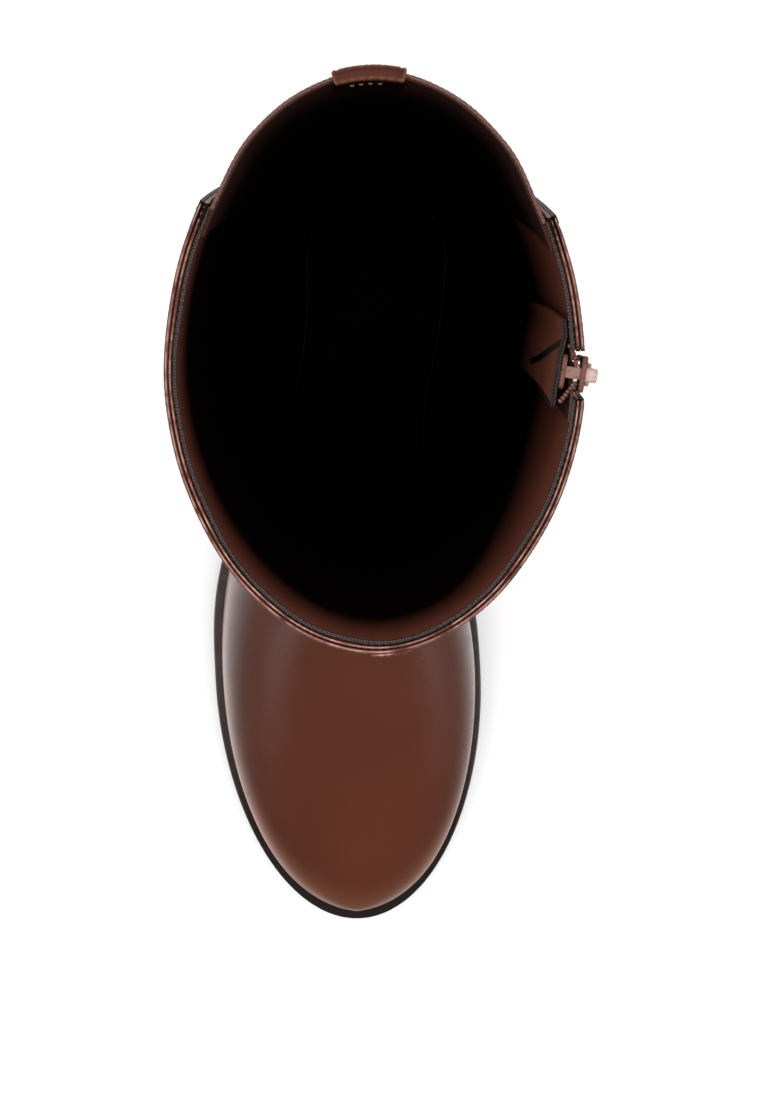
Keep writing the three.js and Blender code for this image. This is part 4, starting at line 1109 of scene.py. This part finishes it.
STITCH_PITCH, STITCH_LENGTH, THREAD_RADIUS = 3.2, 2.2, 0.28
SEAM_INSET = 2.6               # of a row of stitches from the leather's edge
SEAM_TOP_AT = COLLAR_AT - 3


def add_seam(name, u_of, start):
    """Row of stitches on the surface along a line u = u_of(along), from `start` up to the collar."""
    places = np.arange(start, SEAM_TOP_AT - STITCH_LENGTH, STITCH_PITCH)
    starts = surface(u_of(places), places)
    ends = surface(u_of(places + STITCH_LENGTH), places + STITCH_LENGTH)
    stitches(name, starts, ends, outward(u_of(places), places), THREAD_RADIUS, THREAD)


add_seam("stitch_zip_front", lambda along: zip_line(along, -SLIT_HALF_WIDTH - SEAM_INSET), ZIP_FOOT_AT)
add_seam("stitch_zip_back", lambda along: zip_line(along, SLIT_HALF_WIDTH + SEAM_INSET), ZIP_FOOT_AT)
add_seam("stitch_gore_medial", lambda along: gore_line(along, 1, SEAM_INSET), GORE_FOOT_AT)
add_seam("stitch_gore_lateral", lambda along: gore_line(along, -1, SEAM_INSET), GORE_FOOT_AT)

# short gathered fold at the front of the collar
near_front = np.linspace(-0.2, 0.3, 400)
gather_run = np.interp(np.linspace(-0.9, 9.0, 110), surface(near_front, COLLAR_AT)[:, 0], near_front)
collar_bead("collar_front_gather", gather_run, -0.25, 0.42, FOLDED_LEATHER, "leather", -0.6, 0.0, 0.35)


# ---------------------------------------------------------------- gore and pull tab

GORE_OUT, GORE_IN = WALL + 0.6, WALL + 2.0
GORE_OVERLAP = 8.0
GORE_SINK = 0.8
GORE_BULGE = 1.2
RIBS = 68
RIB_HEIGHT = 0.42


def gore_foot_depth(rows):
    """The gore lies a little deeper towards its narrow foot."""
    return GORE_SINK * (1 - smooth(rows, SEAM_AT, GORE_FOOT_AT + 90))


def rib_height(share):
    """Upright ribs: |sin| of the place across, so each rib is round with a sharp hollow beside it."""
    return RIB_HEIGHT * np.abs(np.sin(math.pi * RIBS * share)) ** 0.7


def gore_bulge(share, rows):
    """How far the middle of the gore stands out from its sewn edges, more towards the collar."""
    from_edge = np.minimum(share, 1 - share)
    return GORE_BULGE * smooth(from_edge, 0.07, 0.2) * smooth(rows, GORE_FOOT_AT + 60, COLLAR_AT - 60)


def gore_depth(share, rows):
    """Depth of the gore's plain sheet beyond its thickness: the sink at its foot less the bulge."""
    return gore_foot_depth(rows) - gore_bulge(share, rows)


gore_rows = joined(np.linspace(GORE_FOOT_AT - GORE_OVERLAP, COLLAR_AT - 4, 100),
                   COLLAR_AT - np.array([4, 2.4, 1.2]))
gore = panel(
    "gore_elastic",
    lambda rows: gore_line(rows, 1, GORE_OVERLAP),
    lambda rows: 2 + gore_line(rows, -1, GORE_OVERLAP),
    RIBS * 5, gore_rows,
    lambda share, rows: GORE_OUT + RIB_HEIGHT - rib_height(share) + gore_depth(share, rows),
    lambda share, rows: GORE_IN + gore_depth(share, rows))
finish_piece(gore, replaces=["gore"], materials=[ELASTIC])


def path_tube(name, path, half_out, half_across, out, finish, closed=False, sides=12, power=2.0,
              body=BOOT, replaces=(), taper=True, place=True):
    """Cord or bar carried along a path. Its section is a superellipse in the plane across the path,
    half_out thick along `out` and half_across wide; open ends draw in over one half width."""
    following = np.roll(path, -1, 0) - np.roll(path, 1, 0)
    if not closed:
        following[0], following[-1] = path[1] - path[0], path[-1] - path[-2]
    following = following / np.linalg.norm(following, axis=-1, keepdims=True)
    out = np.broadcast_to(np.asarray(out, float), path.shape)
    out = out - following * (out * following).sum(-1, keepdims=True)
    out = out / np.linalg.norm(out, axis=-1, keepdims=True)
    across = np.cross(out, following)
    angle = np.linspace(0, math.tau, sides + 1)[:-1]
    cosine, sine = np.cos(angle), np.sin(angle)
    along_out = np.sign(cosine) * np.abs(cosine) ** (2 / power)
    along_across = np.sign(sine) * np.abs(sine) ** (2 / power)
    length = np.concatenate([[0], np.cumsum(np.linalg.norm(np.diff(path, axis=0), axis=1))])
    swell = np.ones(len(path))
    if taper and not closed:
        blunt = max(np.max(half_out), np.max(half_across))
        end = np.clip(np.minimum(length, length[-1] - length) / blunt, 0, 1)
        swell = np.sqrt(1 - 0.85 * (1 - end) ** 2)
    thick = (np.broadcast_to(half_out, len(path)) * swell)[:, None, None]
    wide = (np.broadcast_to(half_across, len(path)) * swell)[:, None, None]
    rings = path[:, None] + out[:, None] * along_out[None, :, None] * thick
    rings = rings + across[:, None] * along_across[None, :, None] * wide
    values = None
    if place:
        values = np.stack(np.broadcast_arrays(
            angle[None, :] * np.max(half_across), length[:, None], 0.0), -1)
    obj = tube(name, rings, closed=closed, values=values)
    return finish_piece(obj, body=body, replaces=replaces, materials=[finish])


# binding down the inside of the gore's seams
for tag, side in (("medial", 1), ("lateral", -1)):
    binding_rows = np.linspace(COLLAR_AT - 90, COLLAR_AT - 1.4, 180)
    binding_u = gore_line(binding_rows, side, -0.6)
    path_tube(
        f"seam_tape_gore_{tag}", under(binding_u, binding_rows, WALL + 0.45 + 0 * binding_rows), 0.45, 0.95,
        outward(binding_u, binding_rows), DARK_BINDING)

# ribbed top edge of the elastic
edge_place = np.linspace(0, 1, 700)
edge_u = mix(gore_line(COLLAR_AT, 1, 1.0), 2 + gore_line(COLLAR_AT, -1, 1.0), edge_place)
edge_swell = 0.42 + 0.1 * np.abs(np.sin(math.pi * RIBS * edge_place))
edge_depth = 3.3 + 0.05 * np.sin(edge_place * 40) - gore_bulge(mix(0.05, 0.95, edge_place), COLLAR_AT)
edge_path = under(edge_u, COLLAR_AT - 1.2 + 0 * edge_u, edge_depth)
path_tube(
    "gore_top_edge", edge_path, edge_swell, edge_swell * 1.3, outward(edge_u, COLLAR_AT + 0 * edge_u),
    ELASTIC_EDGE, power=2.6)

TAB_HALF_WIDTH, TAB_SIDE, TAB_THICKNESS = 9.4, -1.4, 1.0
TAB_OUT, TAB_IN = 0.3, GORE_IN - GORE_BULGE + GAP + TAB_THICKNESS
TAB_LEGS = (30.0, 26.0)


def tab_skin(cut, across):
    """Skin of the folded tab: down the outside, half round over the top, down the inside. `cut` is
    how far the skin lies from the strap's outer face, and the edges and folds swell a little."""
    middle, radius = (TAB_OUT + TAB_IN) / 2, (TAB_IN - TAB_OUT) / 2
    place = 1 - (TAB_SIDE + across * TAB_HALF_WIDTH) * float(per_millimetre(1.0, COLLAR_AT))
    angle = np.linspace(0, math.pi, 15)[1:-1]
    drop_out = np.linspace(TAB_LEGS[0], 0, 40)
    drop_in = np.linspace(0, TAB_LEGS[1], 34)
    drop = np.concatenate([drop_out, 0 * angle, drop_in])
    depth = np.concatenate([
        0 * drop_out + TAB_OUT + cut, middle - (radius - cut) * np.cos(angle), 0 * drop_in + TAB_IN - cut])
    lift = np.concatenate([0 * drop_out, (radius - cut) * np.sin(angle), 0 * drop_in])
    place, drop, depth = np.broadcast_arrays(place[None, :], drop[:, None], depth[:, None])
    points = under(place, COLLAR_AT - drop, depth)
    points[..., 2] += lift[:, None]
    return points


tab_across = np.concatenate([[-1, -0.985, -0.95], np.linspace(-0.9, 0.9, 41), [0.95, 0.985, 1]])
tab_edge = np.abs(tab_across)
tab_round = 0.42 * np.clip((tab_edge - 0.94) / 0.06, 0, 1) ** 2
tab_groove = 0.22 * bump(tab_edge, 0.84, 0.035)
row_index = np.arange(tab_skin(0.0, tab_across).shape[0])[:, None]
creasing = 0.07 * np.sin(tab_across[None, :] * 37 + 2 * np.sin(row_index / 3.0))
creasing = creasing * bump(row_index, 46, 9)
tab_normals = tab_skin(0.0, tab_across) - tab_skin(1.0, tab_across)
tab_front = tab_skin(0.0, tab_across) - tab_normals * (tab_round + tab_groove + creasing)[..., None]
tab_back = tab_skin(TAB_THICKNESS, tab_across) + tab_normals * tab_round[None, :, None]
tab_shadow = np.broadcast_to(smooth(row_index, 48, 55), tab_front.shape[:2])
on_fold = (row_index > 39) & (row_index < 50)
# Painted highlight: a line along the top of the fold, a fainter line below it and the fold's corners, in
# the tan
tab_painted_highlight = 0.5 * bump(row_index, 40.5, 1.6) + 0.35 * bump(row_index, 49.5, 1.2)
tab_painted_highlight = tab_painted_highlight * (0.75 + 0.25 * np.sin(tab_across[None, :] * 23))
tab_painted_highlight = tab_painted_highlight + 0.3 * smooth(tab_edge, 0.93, 0.98) * on_fold
pull_tab = closed_body(
    "pull_tab_loop", tab_front[:, ::-1], tab_back[:, ::-1],
    values={"shadow": tab_shadow[:, ::-1], "burnish_and_painted_highlight": tab_painted_highlight[:, ::-1]}, sharp=50)
finish_piece(pull_tab, replaces=["pull_tab"], materials=[TAB_LEATHER])


def tab_point(x, drop, depth):
    """Point on the tab from its place across and down."""
    u = 1 - x * float(per_millimetre(1.0, COLLAR_AT))
    return under(u + 0 * drop, COLLAR_AT - drop, depth + 0 * drop)


TAB_STITCH_DROP, TAB_STITCH_HALF = 5.2, 0.8
TAB_STITCH_TURN = 0.007        # change of u over one millimetre across the tab
TAB_STITCHES = np.array([-6.3, -3.8, -1.2, 1.5])
for tag, depth, sign in (("outer", TAB_OUT, 1.0), ("inner", TAB_IN, -1.0)):
    drops = TAB_STITCH_DROP + 0 * TAB_STITCHES
    start = tab_point(TAB_STITCHES - TAB_STITCH_HALF, drops, depth)
    end = tab_point(TAB_STITCHES + TAB_STITCH_HALF, drops, depth)
    up = outward(1 - TAB_STITCHES * TAB_STITCH_TURN, COLLAR_AT - 5 + 0 * drops) * sign
    stitches(f"stitch_tab_{tag}", start, end, up, 0.3, THREAD)


# ---------------------------------------------------------------- zip

TAPE_NEAR, TAPE_FAR, TAPE_IN = 3.7, 11.5, WALL + 1.2
TOOTH_PITCH, TOOTH_RADIUS, TOOTH_DEPTH = 1.3, 0.46, 1.95
CHAIN_TOP_AT = COLLAR_AT - 13.5


def zip_strip(name, near, far, columns, rows, depth_out, replaces=()):
    """Flat strip of zip cloth between two lines beside the zip."""
    strip = panel(
        name, lambda along: zip_line(along, near), lambda along: zip_line(along, far), columns, rows,
        constant(depth_out), constant(TAPE_IN))
    finish_piece(strip, replaces=replaces, materials=[ZIP_CLOTH])


tape_rows = np.linspace(ZIP_FOOT_AT - 8, COLLAR_AT - 1, 150)
zip_strip("zip_tape_cloth_front", -TAPE_FAR, -TAPE_NEAR, 8, tape_rows, WALL + 0.5, ["zip_tape_front"])
zip_strip("zip_tape_cloth_back", TAPE_NEAR, TAPE_FAR, 8, tape_rows, WALL + 0.5, ["zip_tape_back"])
zip_strip("zip_chain_tape", -3.6, 3.6, 6, np.linspace(ZIP_FOOT_AT + 1, COLLAR_AT - 8, 150), WALL + 0.35)

for tag, near, far, shift in (("front", -2.5, 0.55, 0), ("back", -0.55, 2.5, TOOTH_PITCH / 2)):
    places = np.arange(ZIP_FOOT_AT + 4, CHAIN_TOP_AT, TOOTH_PITCH) + shift
    up = outward(zip_line(places, 0), places)
    starts = under(zip_line(places, near), places, TOOTH_DEPTH + 0 * places)
    ends = under(zip_line(places, far), places, TOOTH_DEPTH + 0 * places)
    teeth = stitches(f"zip_coil_{tag}", starts, ends, up, TOOTH_RADIUS, COIL_NYLON)
    if tag == "front":
        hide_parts("zip_chain")

SLIDER_ALONG = COLLAR_AT - 9.0
SLIDER_AT = surface(float(zip_line(SLIDER_ALONG, 0)), SLIDER_ALONG)
SLIDER_TURN = math.radians(9)


def turned(points):
    """(out, forward, up) turned a little towards the toe about the upright axis."""
    out, forward, up = points[..., 0], points[..., 1], points[..., 2]
    return np.stack([
        out * math.cos(SLIDER_TURN) - forward * math.sin(SLIDER_TURN),
        out * math.sin(SLIDER_TURN) + forward * math.cos(SLIDER_TURN), up], -1)


OUTWARDS = turned(np.array([1.0, 0, 0]))


def at_slider(out, forward, up):
    """Point near the slider: out of the leather, towards the toe and up from the slider's middle."""
    return SLIDER_AT + turned(np.stack(np.broadcast_arrays(
        np.asarray(out, float), np.asarray(forward, float), np.asarray(up, float)), -1))


def opened_coil(name, ends_at, count):
    """Short run of coil above the slider, from a chamber's mouth inwards under the leather's edge."""
    share = np.linspace(0, 1, count)
    (o0, f0, h0), (o1, f1, h1) = ends_at
    middle = at_slider(mix(o0, o1, share ** 1.2), mix(f0, f1, share), mix(h0, h1, share))
    travel = middle[-1] - middle[0]
    beside = np.cross(travel / np.linalg.norm(travel), [0, 0, 1.0])
    up = np.broadcast_to(beside, middle.shape)
    reach = np.array([0, 0, 1.25])
    stitches(name, middle - reach, middle + reach, up, 0.52, COIL_NYLON)
    path_tube(name + "_core", middle - [0, 0, 0.6], 0.5, 0.9, beside, ZIP_CLOTH)


opened_coil("zip_coil_open_back", ((-1.9, -1.9, 4.2), (-4.4, -6.4, 6.2)), 6)
opened_coil("zip_coil_open_front", ((-2.0, 2.2, 4.2), (-4.8, 7.2, 6.2)), 7)


def rounded_plate(name, outline, inner, outer, round_by, finish, body=BOOT, replaces=(), origin=SLIDER_AT):
    """Plate in the plane of the leather: an outline of (forward, up) points carried outwards from
    `inner` to `outer`, its edges rounded by a quarter circle in three steps."""
    outline = np.asarray(outline, float)
    ahead = np.roll(outline, -1, 0) - outline
    behind = outline - np.roll(outline, 1, 0)
    ahead /= np.linalg.norm(ahead, axis=1, keepdims=True)
    behind /= np.linalg.norm(behind, axis=1, keepdims=True)
    inward = np.stack([-(ahead + behind)[:, 1], (ahead + behind)[:, 0]], 1)
    inward /= np.linalg.norm(inward, axis=1, keepdims=True)
    middle = outline.mean(0)
    if ((middle - outline) * inward).sum() < 0:
        inward = -inward
    rings = []
    for angle in (90, 60, 30, 0):
        rings.append((inner + round_by * (1 - math.sin(math.radians(angle))),
                      round_by * (1 - math.cos(math.radians(angle)))))
    rings += [(outer - (out - inner), inset) for out, inset in rings[::-1]]
    points = np.stack([
        np.concatenate([np.full((len(outline), 1), out), outline + inward * inset], 1)
        for out, inset in rings])
    points = turned(points) + origin
    area = (outline[:, 0] * np.roll(outline[:, 1], -1) - outline[:, 1] * np.roll(outline[:, 0], -1)).sum()
    if area > 0:
        points = points[:, ::-1]
    obj = tube(name, points, sharp=30)
    return finish_piece(obj, body=body, replaces=replaces, materials=[finish])


def round_corners(corners, radii, steps=5):
    """Outline through corners, each cut by a quadratic curve whose two ends lie at its radius."""
    corners = np.asarray(corners, float)
    out = []
    for i, radius in enumerate(radii):
        corner, before, after = corners[i], corners[i - 1], corners[(i + 1) % len(corners)]
        if radius == 0:
            out.append(corner[None])
            continue
        start = corner + (before - corner) / np.linalg.norm(before - corner) * radius
        end = corner + (after - corner) / np.linalg.norm(after - corner) * radius
        t = np.linspace(0, 1, steps)[:, None]
        out.append((1 - t) ** 2 * start + 2 * t * (1 - t) * corner + t ** 2 * end)
    return np.concatenate(out)


SLIDER_FOOT_SHARE, SLIDER_CORNER_SHARE = 0.72, 0.35


def slider_outline(half_width, half_height):
    """Slider plate seen from outside: wide shoulders at the top, narrower at the foot."""
    foot, corner = half_width * SLIDER_FOOT_SHARE, half_width * SLIDER_CORNER_SHARE
    return round_corners(
        [(-foot, -half_height), (foot, -half_height), (half_width, 0), (half_width, half_height),
         (-half_width, half_height), (-half_width, 0)],
        [0.9, 0.9, 1.2, corner, corner, 1.2])


PLATE_OUT, PLATE_THICKNESS, INNER_PLATE_OUT = 0.5, 1.3, -4.4
outer_outline, inner_outline = slider_outline(4.5, 6.0), slider_outline(4.3, 5.5)
post_outline = round_corners([(-1.3, 0.5), (1.3, 0.5), (1.5, 5.0), (-1.5, 5.0)], [0.4] * 4)
rounded_plate(
    "slider_outer_plate", outer_outline, PLATE_OUT - PLATE_THICKNESS, PLATE_OUT, 0.4, SHADED_METAL,
    replaces=["zip_slider"])
rounded_plate(
    "slider_inner_plate", inner_outline, INNER_PLATE_OUT - PLATE_THICKNESS, INNER_PLATE_OUT, 0.4,
    SHADED_METAL)
rounded_plate("slider_post", post_outline, -4.6, -0.6, 0.2, DARK_METAL)
for side, tag in ((-1, "back"), (1, "front")):
    heights = np.linspace(-5.2, 1.0, 14)
    places = side * (4.2 - 1.1 * smooth(-heights, 0, 6))
    path_tube(
        f"slider_flange_{tag}", at_slider(-1.35, places, heights), 0.75, 0.35, OUTWARDS, SHADED_METAL,
        place=False, power=3)

CROWN_HALF_THICK, CROWN_HALF_WIDTH = 0.55, 1.75
CROWN_LOW, CROWN_HIGH, CROWN_OUT = -2.3 + CROWN_HALF_THICK, 3.7 - CROWN_HALF_THICK, 3.6 - CROWN_HALF_THICK
crown_line = round_corners(
    [(0.2, CROWN_LOW), (CROWN_OUT, CROWN_LOW), (CROWN_OUT, CROWN_HIGH), (0.2, CROWN_HIGH)],
    [0, 1.2, 1.2, 0], 8)
crown_path = at_slider(crown_line[:, 0], 0.0, crown_line[:, 1])
middle_of_crown = at_slider(1.0, 0.0, 0.7)
path_tube(
    "slider_crown", crown_path, CROWN_HALF_THICK, CROWN_HALF_WIDTH, crown_path - middle_of_crown, METAL,
    place=False, power=3.2, sides=20, taper=False)

PIVOT = at_slider(1.35, 0.0, 0.8)
PULL_HALF_WIDTH = 3.4
PULL_END = -22 + PULL_HALF_WIDTH  # middle of the pull's round end


def tongue_outline(half_top, top, radius, count):
    """Outline of the pull's tongue: two upper corners and a half circle round the low end."""
    turn = np.linspace(math.pi, math.tau, count)
    end = np.stack([radius * np.cos(turn), PULL_END + radius * np.sin(turn)], 1)
    return np.concatenate([[(half_top, top), (-half_top, top)], end])


ring_line = round_corners([(-2.5, 0.1), (2.5, 0.1), (2.5, -4.35), (-2.5, -4.35)], [0.8] * 4, 6)
ring_path = PIVOT + turned(np.insert(ring_line, 0, 0, axis=1))
path_tube(
    "pull_ring", ring_path, 0.5, 0.4, OUTWARDS, METAL, closed=True, body=PULL,
    replaces=["zip_pull"], place=False, power=2.8)
rounded_plate(
    "pull_tab_plate", tongue_outline(2.6, -4.2, PULL_HALF_WIDTH, 15), -0.5, 0.5, 0.28, METAL,
    body=PULL, origin=PIVOT)
rounded_plate(
    "pull_tab_inlay", tongue_outline(1.75, -6.6, 2.3, 13), 0.3, 0.62, 0.14, DARK_METAL,
    body=PULL, origin=PIVOT)


GUARD_FRONT, GUARD_BACK = -8.0, 12.2   # its edges, beside the zip's middle
GUARD_THICKNESS = 1.0
GUARD_BINDING_AT = GUARD_FRONT - 0.3
GUARD_LEAN = table("share depth", [(0, 6.7), (0.25, 6.6), (0.6, 5.6), (0.84, 3.75), (1, 3.7)])


def guard_depth(share, rows):
    """Depth of the guard: it leans away from the zip towards its free front edge."""
    return np.interp(share, GUARD_LEAN["share"], GUARD_LEAN["depth"]) + 0 * rows


def guard_binding(name, path, half_out, half_across, out):
    """Dark binding sewn on the guard."""
    path_tube(name, path, half_out, half_across, out, DARK_BINDING)


guard_rows = np.linspace(ZIP_FOOT_AT - 4, COLLAR_AT - 3.4, 110)
guard = panel(
    "zip_guard_flap", lambda rows: zip_line(rows, GUARD_FRONT), lambda rows: zip_line(rows, GUARD_BACK),
    20, guard_rows, guard_depth, lambda share, rows: guard_depth(share, rows) + GUARD_THICKNESS)
finish_piece(guard, replaces=["zip_guard"], materials=[LINING])

top_share = np.linspace(0, 1, 60)
top_u = mix(zip_line(COLLAR_AT - 3, GUARD_BINDING_AT), zip_line(COLLAR_AT - 3, GUARD_BACK), top_share)
top_path = under(top_u, COLLAR_AT - 3.2 + 0 * top_u, guard_depth(top_share, 0) + GUARD_THICKNESS / 2)
guard_binding("guard_top_binding", top_path, 0.7, 0.7, (0, 0, 1))

front_u = zip_line(guard_rows, GUARD_BINDING_AT)
front_path = under(front_u, guard_rows, 7.25 + 0 * guard_rows)
guard_binding("guard_edge_binding", front_path, 0.8, 0.9, outward(front_u, guard_rows))

slant = np.linspace(0, 1, 90)
slant_rows = mix(COLLAR_AT - 75, COLLAR_AT - 2.5, slant)
slant_at = mix(-3.0, 7.6, slant)
slant_u = zip_line(slant_rows, slant_at)
slant_share = (slant_at - GUARD_FRONT) / (GUARD_BACK - GUARD_FRONT)
slant_path = under(slant_u, slant_rows, guard_depth(slant_share, 0) + GUARD_THICKNESS + 0.2)
guard_binding("guard_slanted_binding", slant_path, 0.35, 0.8, outward(slant_u, slant_rows))

# low end of the zip
STOP_AT = ZIP_FOOT_AT + 2.6
STOP_HALF_WIDTH = 2.4
stop_u = float(zip_line(STOP_AT, 0))
stop_places = np.linspace(-STOP_HALF_WIDTH, STOP_HALF_WIDTH, 9)[:, None]
stop_path = under(stop_u, STOP_AT, 1.7) + stop_places * np.array([0, 1.0, 0])
path_tube(
    "zip_bottom_stop", stop_path, 0.7, 1.1, outward(stop_u, ZIP_FOOT_AT), METAL, place=False,
    power=3)


# ---------------------------------------------------------------- floor, light and camera

FLOOR_HALF = 6
FLOOR_WHITE = (rgb(249, 249, 249), rgb(252, 252, 252))
SURROUND_BELOW = (1.7, 1.64, 1.64, 1)
SURROUND_HORIZON = (0.23, 0.2, 0.2, 1)
SURROUND_ABOVE = (0.04, 0.04, 0.042, 1)

floor_finish = Finish("studio_floor")
floor_speck = floor_finish.node("TexNoise", {"Vector": floor_finish.coords(), "Scale": 3.0}).outputs["Fac"]
floor_finish.shade(base_color=floor_finish.blend(floor_speck, *FLOOR_WHITE), roughness=0.8)
floor_mesh = bpy.data.meshes.new("studio_floor")
floor_corners = [(x * FLOOR_HALF, y * FLOOR_HALF, 0) for x, y in ((-1, -1), (1, -1), (1, 1), (-1, 1))]
floor_mesh.from_pydata(floor_corners, [], [(0, 1, 2, 3)])
floor = bpy.data.objects.new("studio_floor", floor_mesh)
bpy.context.collection.objects.link(floor)
floor.data.materials.append(floor_finish.material)
floor.visible_glossy = False


def studio_world():
    """Studio surround by the height of the direction: pale below, dim at the horizon, dark overhead."""
    world = bpy.data.worlds.new("studio")
    world.use_nodes = True
    tree = world.node_tree
    work = Finish("studio", tree)
    direction = work.node("TexCoord").outputs["Generated"]
    height = work.node("SeparateXYZ", {"Vector": direction}).outputs["Z"]
    colour = work.blend(work.span(height, -0.97, -0.45), SURROUND_BELOW, SURROUND_HORIZON)
    colour = work.blend(work.span(height, -0.45, 0.45), colour, SURROUND_ABOVE)
    background = tree.nodes["Background"]
    work.put(background.inputs["Color"], colour)
    background.inputs["Strength"].default_value = 1.0
    bpy.context.scene.world = world


def softbox(name, place, aim, width, height, power):
    """Large flat lamp aimed at a point."""
    lamp = bpy.data.lights.new(name, "AREA")
    lamp.shape = "RECTANGLE"
    lamp.size, lamp.size_y, lamp.energy = width, height, power
    obj = bpy.data.objects.new(name, lamp)
    bpy.context.collection.objects.link(obj)
    obj.location = place
    toward = np.array(aim, float) - np.array(place, float)
    x, y, z = toward / np.linalg.norm(toward)
    obj.rotation_euler = (math.acos(-z), 0, math.atan2(y, x) - math.pi / 2)
    return obj


studio_world()
for tag, side in (("left", -1), ("right", 1)):
    softbox(f"{tag}_softbox", (2.0 * side, -0.4, 0.75), (0, -0.05, 0.1), 1.6, 1.1, 5)
ceiling = softbox("ceiling_softbox", (0, -0.05, 2.6), (0, -0.051, 0), 3.0, 3.0, 130)
ceiling.visible_glossy = False

CAMERA_LENS = 107.99
CAMERA_PLACE = (0.0015, -0.0112, 1.199)
CAMERA_TILT = math.radians(-4.48)
camera_data = bpy.data.cameras.new("camera")
camera_data.lens = CAMERA_LENS
camera = bpy.data.objects.new("camera", camera_data)
bpy.context.collection.objects.link(camera)
camera.location = CAMERA_PLACE
camera.rotation_euler = (CAMERA_TILT, 0, 0)
bpy.context.scene.camera = camera
bpy.context.scene.view_settings.view_transform = "Standard"
